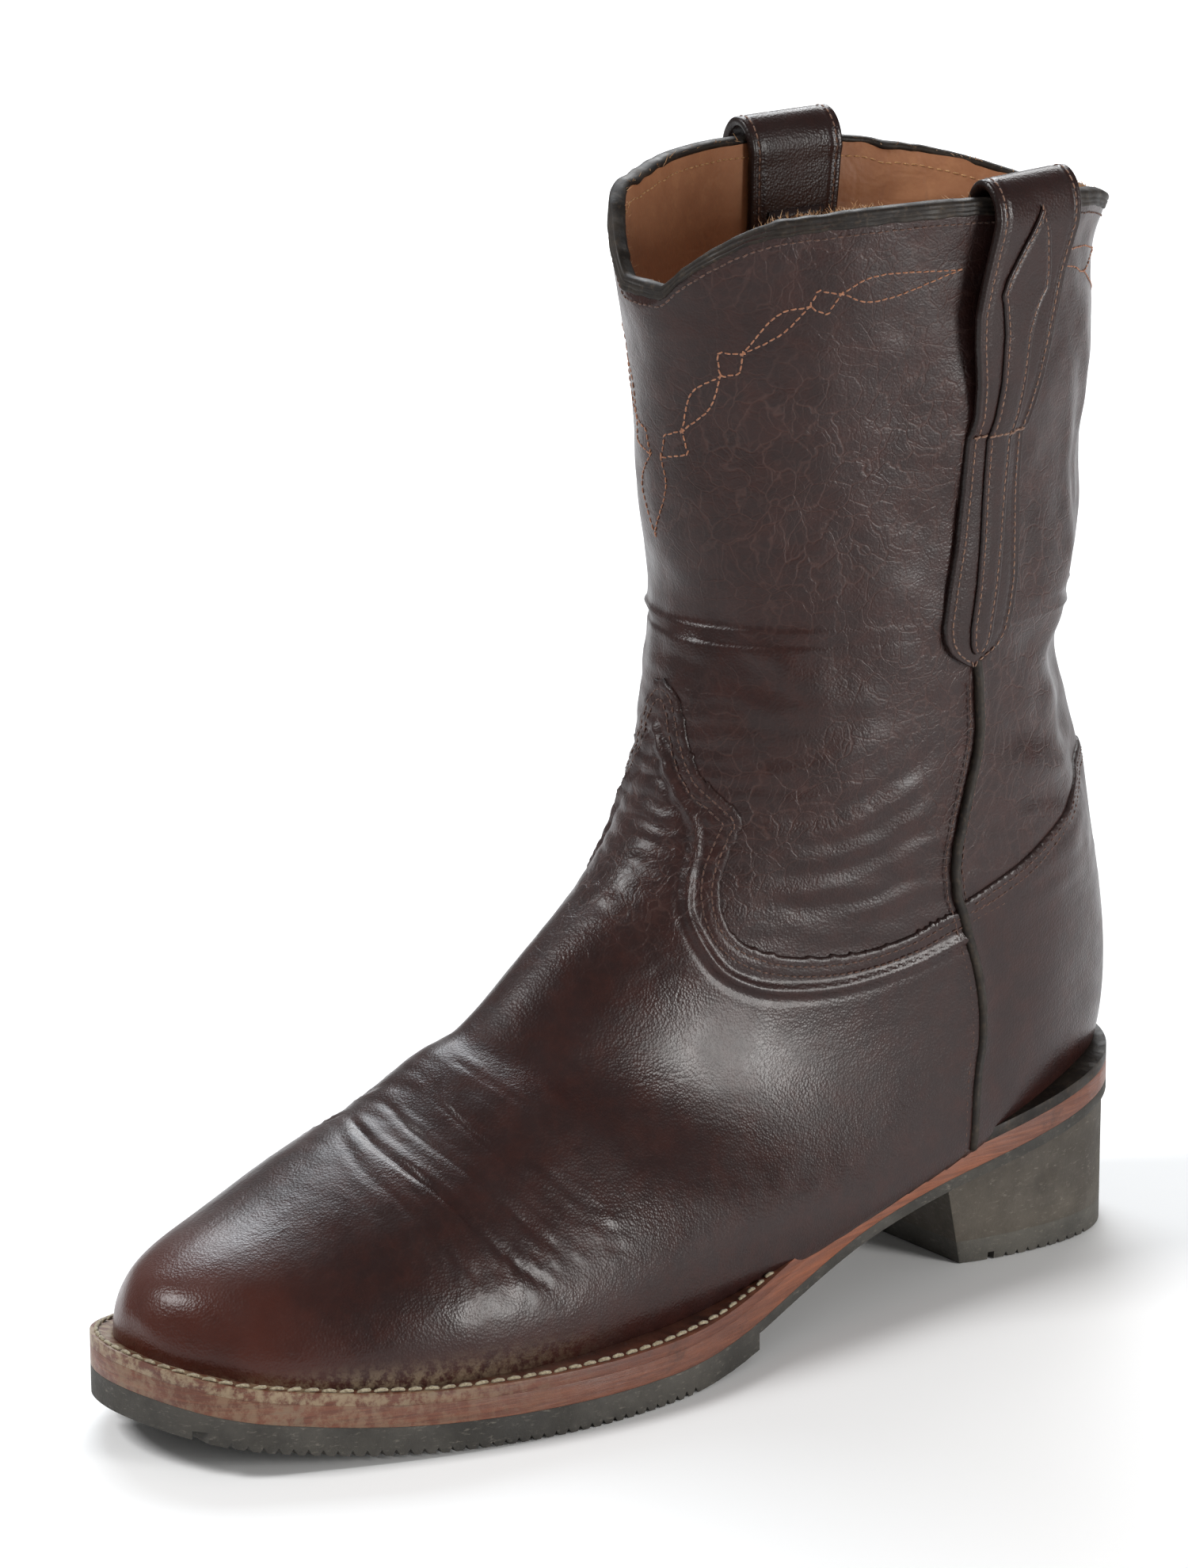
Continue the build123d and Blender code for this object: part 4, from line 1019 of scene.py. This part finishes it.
class Strap:
    """The surface that one pull strap follows: tail, outer leg, crown and inner leg."""

    def __init__(self, side):
        self.side = side
        self.outer_z = np.linspace(STRAP_LEG[0, 0], CROWN_BASE, OUTER_STATIONS)
        inner_z = np.linspace(CROWN_BASE, INNER_LEG[-1, 0], INNER_STATIONS)
        rising = INNER_LEG[::-1]
        outer = np.array([self.leg(z, *interp_rows(z, STRAP_LEG[:, 0], STRAP_LEG[:, 1:]))
                          for z in self.outer_z])
        inner = np.array([self.leg(z, *interp_rows(z, rising[:, 0], rising[:, 1:]), -INNER_DEPTH)
                          for z in inner_z])
        middle, reach = (outer[-1] + inner[0]) / 2, (outer[-1] - inner[0]) / 2
        turn = np.linspace(0, np.pi, CROWN_STATIONS + 2)[1:-1]
        crown = [middle + reach * math.cos(angle) + np.array([0, 0, CROWN_RISE * math.sin(angle)])
                 for angle in turn]
        self.points = np.vstack([outer, crown, inner])
        normal = unit(np.cross(np.gradient(self.points, axis=0), np.gradient(self.points, axis=1)))
        self.normals = normal * np.sign(normal[OUTER_STATIONS // 2, len(ACROSS) // 2, 0] * side)
        self.half = np.linalg.norm(self.points[:, -1] - self.points[:, 0], axis=1) / 2

    def leg(self, z, back, front, stand):
        """One station across the strap: on the leather where it is sewn, flat where it stands off."""
        middle = (back + front) / 2
        y = middle + (back - front) / 2 * ACROSS
        at_front, at_middle, at_back = (self.leather(value, z) for value in (front, middle, back))
        x = at_middle + 0.5 * (at_back - at_front) / max(back - front, 0.1) * (y - middle)
        if stand < 1:
            loose = smoothstep(223, 238, z) if stand > 0 else 1.0
            x = np.array([self.leather(value, z) for value in y]) * (1 - loose) + x * loose
        return np.column_stack([self.side * (x + stand), y, np.full(len(y), z)])

    def leather(self, y, z):
        """Distance of the leather from the middle plane at (y, z)."""
        point = leather_at(self.side, y, min(z, 279.0))
        return abs(point[0]) if point is not None else 47.5

    def at(self, row, place):
        """Point and normal at a place from -1 to 1 across one station."""
        return (interp_rows(place, ACROSS, self.points[row]), interp_rows(place, ACROSS, self.normals[row]))

    def strip(self, name, stations, half_width, top, bottom, grooves):
        """A closed strip that follows the strap between two heights above its middle surface."""
        verts = []
        mid = (top + bottom) / 2
        for row, half in zip(stations, half_width):
            edge = (1 - abs(ACROSS)) * half
            rise = (top - bottom) / 2 * (0.2 + 0.8 * np.sqrt(np.clip(edge / 0.8, 0, 1)))
            groove = sum(0.3 * np.exp(-((edge - at) / 0.5) ** 2) for at in grooves)
            base, normal = self.at(row, ACROSS * half / self.half[row])
            upper = base + normal * (mid + rise - groove)[:, None]
            lower = base + normal * (mid - rise)[:, None]
            verts.append(np.vstack([upper, lower[::-1]]))
        count = len(verts[0])
        faces = ring_quads(len(verts), count).tolist()
        faces += [tuple(range(count)), tuple(range((len(verts) - 1) * count, len(verts) * count))]
        edge_dark = np.tile(np.exp(-((1 - abs(ACROSS)) / 0.06) ** 2), 2 * len(verts))
        return new_object(name, np.vstack(verts), faces, STRAP_CALF, {"dark": 0.75 * edge_dark})

    def rows_of_stitches(self, stations, inset, half_width, lift):
        """Stitches along both edges of a strip on this strap."""
        made = []
        for edge in (1, -1):
            found = [self.at(row, edge * max(half - inset, 0.2) / self.half[row])
                     for row, half in zip(stations, half_width)]
            line, normals = (np.array(values) for values in zip(*found))
            line = line + normals * lift
            walked = np.concatenate([[0], np.cumsum(np.linalg.norm(np.diff(line, axis=0), axis=1))])
            for at in np.arange(STRAP_PITCH / 2, walked[-1], STRAP_PITCH):
                spot, ahead = interp_rows(at, walked, line), interp_rows(at + 0.4, walked, line)
                if np.linalg.norm(ahead - spot) > 0.1:
                    along = ahead - spot + 0.02 * RNG.normal(0, 1, 3)
                    made.append((spot, along, interp_rows(at, walked, normals), 1.6, 0.5))
        return made

    def tack_stitches(self):
        """The short row across the strap where its tail is tacked to the shaft."""
        made = []
        row = int(np.argmin(abs(self.outer_z - TACK_ROW_Z)))
        for place in -0.77 + 0.22 * np.arange(8):
            spot, normal = self.at(row, place)
            over = 0.85 if abs(place) * self.half[row] < 4.2 else 0.0
            lift = STRAP_THICK / 2 + 0.1 + over
            made.append((spot + normal * lift, np.array([0, 1.0, 0.1]), normal, 2.1, 0.8))
        return made


def bend_with_strap(item):
    """Bakes the piece's placement into its own vertices."""
    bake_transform(item)


def pull_strap(side, word):
    """One pull strap with its decoration, its sewn pad inside and its stitching."""
    strap = Strap(side)
    face = STRAP_THICK / 2
    stations = range(len(strap.points))
    half = strap.half.copy()
    half[-4:] *= np.array([0.97, 0.92, 0.82, 0.6])
    body = strap.strip(f"strap_{word}_leather", stations, half, face, -face, (1.5, 3.1))
    bend_with_strap(body)
    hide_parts(f"pull_strap_{word}", f"strap_tail_{word}")
    # the decoration runs from the tail up to the first two stations of the crown
    shown = [k for k, z in enumerate(strap.outer_z) if OVERLAY[0, 0] <= z <= CROWN_BASE]
    shown += [OUTER_STATIONS, OUTER_STATIONS + 1]
    heights = np.concatenate([strap.outer_z, OVERLAY_END])[shown]
    widths = np.interp(heights, OVERLAY[:, 0], OVERLAY[:, 1])
    decoration = strap.strip(f"strap_{word}_overlay", shown, widths, face + 1.0, face - 0.5, (1.3,))
    bend_with_strap(decoration)
    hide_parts(f"strap_overlay_{word}", f"tail_overlay_{word}")
    pad_rows = [k for k in stations[-INNER_STATIONS:] if PAD_Z[0] <= strap.points[k, 0, 2] <= PAD_Z[1]]
    pad_half = [PAD_HALF] * len(pad_rows)
    pad = strap.strip(f"strap_{word}_inner_pad", pad_rows, pad_half, face + 1.2, face - 0.4, (1.4,))
    bend_with_strap(pad)
    spots = strap.rows_of_stitches(stations, 2.3, half, face - 0.05)
    spots += strap.rows_of_stitches(shown, 1.3, widths, face + 0.72)
    spots += strap.rows_of_stitches(pad_rows, 1.4, pad_half, face + 0.95)
    spots += strap.tack_stitches()
    seams = new_object(f"strap_{word}_stitches", *stitch_mesh(spots), STRAP_THREAD)
    bend_with_strap(seams)


for side, word in SIDES:
    pull_strap(side, word)


# ---------------------------------------------------------------- stitching on the leather
COUNTER_FRONT = -33          # the counter's rows stop here, at the side seam
# Curves of the ornament on the outer side; those of five points have sharp corners.
ORNAMENT = [
    [(47, -46, 269), (42.5, -68, 270), (39, -77, 266)],
    [(47, -46, 269), (42, -68, 263.5), (39, -77, 266)],
    [(39, -77, 266), (37, -80, 261), (35, -84, 263), (36, -82, 267), (39, -77, 266)],
    [(35, -84, 263), (30, -90, 261), (24, -96, 251)],
    [(35, -84, 263), (30, -89, 256), (24, -96, 251)],
    [(24, -96, 251), (23, -96, 246), (19, -99, 245), (19, -100, 251), (24, -96, 251)],
    [(19, -99, 245), (12.5, -103, 240), (9, -103, 230)],
    [(19, -99, 245), (16, -100, 236.5), (9, -103, 230)],
    [(9, -103, 230), (10, -102, 224), (2, -104, 222), (4, -105, 228), (9, -103, 230)],
    [(41, -7, 266.5), (35, 7, 265), (23, 19, 261)],
    [(42, -10, 263.6), (37, 2, 261), (31, 9, 258), (23, 19, 261)],
    [(23, 19, 261), (12, 28, 254), (3, 33, 243)],
    [(31, 9, 258), (20, 21, 250), (3, 33, 243)],
]
CENTRE_ORNAMENT = [[(2, -104, 222), (3, -103, 214), (-3, -102, 201)],
                   [(-2, -104, 222), (-9, -102, 212), (-3, -102, 201)]]


def ornament():
    """Interlaced lens and square stitching round the top of the shaft, in copper thread."""
    lines = []
    for curve in ORNAMENT:
        line = np.array(curve, float) if len(curve) == 5 else catmull(curve, 1.0)
        lines += [line, mirrored(line)]
    lines += [catmull(curve, 1.0) for curve in CENTRE_ORNAMENT]
    spots = []
    for line in lines:
        spots += stitch_row(line, 1.95, 1.5, 0.46, 0.1)
    stitches("ornament_stitches", spots, COPPER_THREAD)


def inside_vamp():
    """1 when the inside of the vamp is on the left of its edge line, otherwise -1."""
    edge, bead = VAMP_LINE[::12], both_sides(catmull(BEAD_LINE, 3.0))
    moved = offset_on_skin(edge, 4.0)
    return 1 if line_distance(moved, bead)[0].mean() < line_distance(edge, bead)[0].mean() else -1


def seam_stitches():
    """Rows beside the vamp edge, the counter edge and the side seams."""
    raised = PANEL_LIFT - 0.1
    spots = []
    for inset in SEAM_ROWS:
        spots += stitch_row(offset_on_skin(VAMP_LINE, inside_vamp() * inset), 2.0, 1.5, 0.5, raised)
    counter = catmull(COUNTER_EDGE, 2.0)
    for side, _ in SIDES:
        for inset in (2.3, 4.6):
            line = on_side(side, [(y, z - inset) for y, z in counter if y > COUNTER_FRONT])
            spots += stitch_row(line, 2.0, 1.5, 0.5, raised)
        seam = seam_on_side(side, 28, 160)
        for shift, lift in ((-2.9, raised), (2.9, 0.1)):
            spots += stitch_row(seam + np.array([0, shift, 0]), 2.1, 1.5, 0.45, lift)
    stitches("seam_stitches", spots, DARK_THREAD)


def closed(ring):
    """A ring of points with its first point again at its end."""
    return np.vstack([ring, ring[:1]])


def top_stitches():
    """A row under the binding outside, and one on the lining inside."""
    down = unit(skin.points[6] - skin.points[0])
    outside = skin.points[0] + down * 5.2
    inside = skin.points[0] + down * 4.6 - skin.normals[2] * 3.9
    outside = stitch_row(closed(outside), 2.0, 1.5, 0.5, 0.12)
    inside = stitch_row(closed(inside), 2.2, 1.6, 0.5, 0.1, LINING_SKIN)
    stitches("top_edge_stitches", outside, DARK_THREAD)
    stitches("lining_stitches", inside, FIBRE)


def welt_lockstitch():
    """Cream lockstitch on the welt, one stitch where each short bar of the CAD node lies."""
    verts, tris = node_mesh(("welt_stitches",))
    _, group = np.unique(verts.round(3), axis=0, return_inverse=True)
    group = group.reshape(-1)
    # every vertex takes the lowest label that it is joined to, which tells the bars apart
    parent = np.arange(group.max() + 1)
    for _ in range(12):
        for tri in tris:
            low = min(parent[group[k]] for k in tri)
            for k in tri:
                parent[group[k]] = low
    island = parent[group]
    up = np.array([0, 0, 1.0])
    spots = []
    for label in np.unique(island):
        own = np.unique(verts[island == label].round(3), axis=0)
        centre = own.mean(0)
        along = np.linalg.svd(own[:, :2] - centre[:2], full_matrices=False)[2][0]
        slope = np.array([along[0], along[1], 0.0]) + 0.05 * RNG.normal(0, 1, 3)
        spots.append((centre - 0.2 * up, slope, up, 3.5, 1.15))
    item = stitches("welt_lockstitch", spots, CREAM_THREAD)
    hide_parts("welt_stitches")


ornament()
seam_stitches()
top_stitches()
welt_lockstitch()


# ---------------------------------------------------------------- sole and hidden layers
# Material and width of the rounded edges of each CAD node that is shown as it is.
NODE_LOOKS = {
    "midsole": (MIDSOLE, 0.7), "welt": (WELT, 0.5), "heel_rand": (EDGE, 0.4), "outsole": (OUTSOLE, 0.5),
    "heel_block": (HEEL, 0.7), "heel_top_lift": (TOP_LIFT, 0.5), "toe_box": (BOARD, 0),
    "heel_counter": (BOARD, 0), "shank": (STEEL, 0), "cork_filler": (CORK, 0), "insole": (LINING, 0),
    "sock_lining": (LINING, 0), "heel_nails": (BRASS, 0),
}


def finish_node(name, material, bevel):
    """Gives a CAD node its material and softens its sharp edges by a bevel in millimetres."""
    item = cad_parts[name]
    item.data.materials.clear()
    item.data.materials.append(material)
    if bevel:
        weld = item.modifiers.new("weld", "WELD")
        weld.merge_threshold = 0.02 * MM
        edge = item.modifiers.new("bevel", "BEVEL")
        edge.width = bevel * MM
        edge.segments = 2
        edge.limit_method = "ANGLE"
        edge.angle_limit = math.radians(38)
        edge.harden_normals = True


for name, (material, bevel) in NODE_LOOKS.items():
    finish_node(name, material, bevel)


# ---------------------------------------------------------------- floor, light and camera
CAMERA_AZIMUTH, CAMERA_ELEVATION, CAMERA_ROLL = 52.149, 16.586, -0.232
CAMERA_DISTANCE = 1956.5
CAMERA_TARGET = (0.0, -105.0, 140.0)
CAMERA_LENS = 179.7
CAMERA_SHIFT = (-0.0389, -0.00605)
FLOOR_HALF = 6.0             # metres


def floor():
    """A plain pale floor."""
    mesh = bpy.data.meshes.new("floor")
    corners = [(-1, -1), (1, -1), (1, 1), (-1, 1)]
    mesh.from_pydata([(x * FLOOR_HALF, y * FLOOR_HALF, 0) for x, y in corners], [], [(0, 1, 2, 3)])
    n = Nodes("floor_white", roughness=0.75, specular=0.25)
    tone = n.mix(n.patches(0.3, 0.7, 3.0, 2.0), srgb(242, 242, 242), srgb(246, 246, 246))
    mesh.materials.append(n.done(tone))
    item = bpy.data.objects.new("floor", mesh)
    bpy.context.scene.collection.objects.link(item)
    item.location.z = -0.0002


def softbox(name, place, target, size, power, color):
    """A rectangular lamp aimed at a point; metres and watts."""
    lamp = bpy.data.lights.new(name, "AREA")
    lamp.shape = "RECTANGLE"
    lamp.size, lamp.size_y = size
    lamp.energy = power
    lamp.color = color
    item = bpy.data.objects.new(name, lamp)
    item.location = Vector(place)
    item.rotation_euler = (Vector(target) - item.location).to_track_quat("-Z", "Y").to_euler()
    bpy.context.scene.collection.objects.link(item)


def camera():
    """The camera at the angle and distance the boot is seen from."""
    a, e, roll = (math.radians(v) for v in (CAMERA_AZIMUTH, CAMERA_ELEVATION, CAMERA_ROLL))
    back = Vector((math.sin(a) * math.cos(e), -math.cos(a) * math.cos(e), math.sin(e)))
    right = Vector((math.cos(a), math.sin(a), 0))
    up = back.cross(right)
    right, up = (math.cos(roll) * right + math.sin(roll) * up, -math.sin(roll) * right + math.cos(roll) * up)
    lens = bpy.data.cameras.new("camera")
    lens.sensor_width = 36.0
    lens.lens = CAMERA_LENS
    lens.shift_x, lens.shift_y = CAMERA_SHIFT
    item = bpy.data.objects.new("camera", lens)
    turn = Matrix((right, up, back)).transposed().to_4x4()
    item.matrix_world = Matrix.Translation((Vector(CAMERA_TARGET) + back * CAMERA_DISTANCE) * MM) @ turn
    bpy.context.scene.collection.objects.link(item)
    bpy.context.scene.camera = item


def studio_world():
    """A dim white surround and plain colour management."""
    scene = bpy.context.scene
    scene.world = bpy.data.worlds[0] if bpy.data.worlds else bpy.data.worlds.new("studio")
    scene.world.use_nodes = True
    surround = scene.world.node_tree.nodes["Background"]
    surround.inputs["Color"].default_value = (1, 1, 1, 1)
    surround.inputs["Strength"].default_value = 0.27
    scene.view_settings.view_transform = "Standard"


floor()
softbox("key_right", (1.5, 0.42, 0.4), (0, -0.1, 0.1), (0.42, 0.62), 20.0, (1.0, 0.99, 0.97))
softbox("front_top", (-0.45, -1.35, 1.45), (0, -0.12, 0.05), (0.6, 0.6), 26.0, (1.0, 1.0, 1.0))
softbox("left_back", (-1.05, 0.4, 1.25), (0, -0.12, 0.1), (0.9, 0.7), 14.0, (0.88, 0.94, 1.0))
softbox("floor_back", (-1.9, 1.7, 1.7), (-1.9, 1.5, 0), (2.0, 2.0), 60.0, (1.0, 1.0, 1.0))
camera()
studio_world()
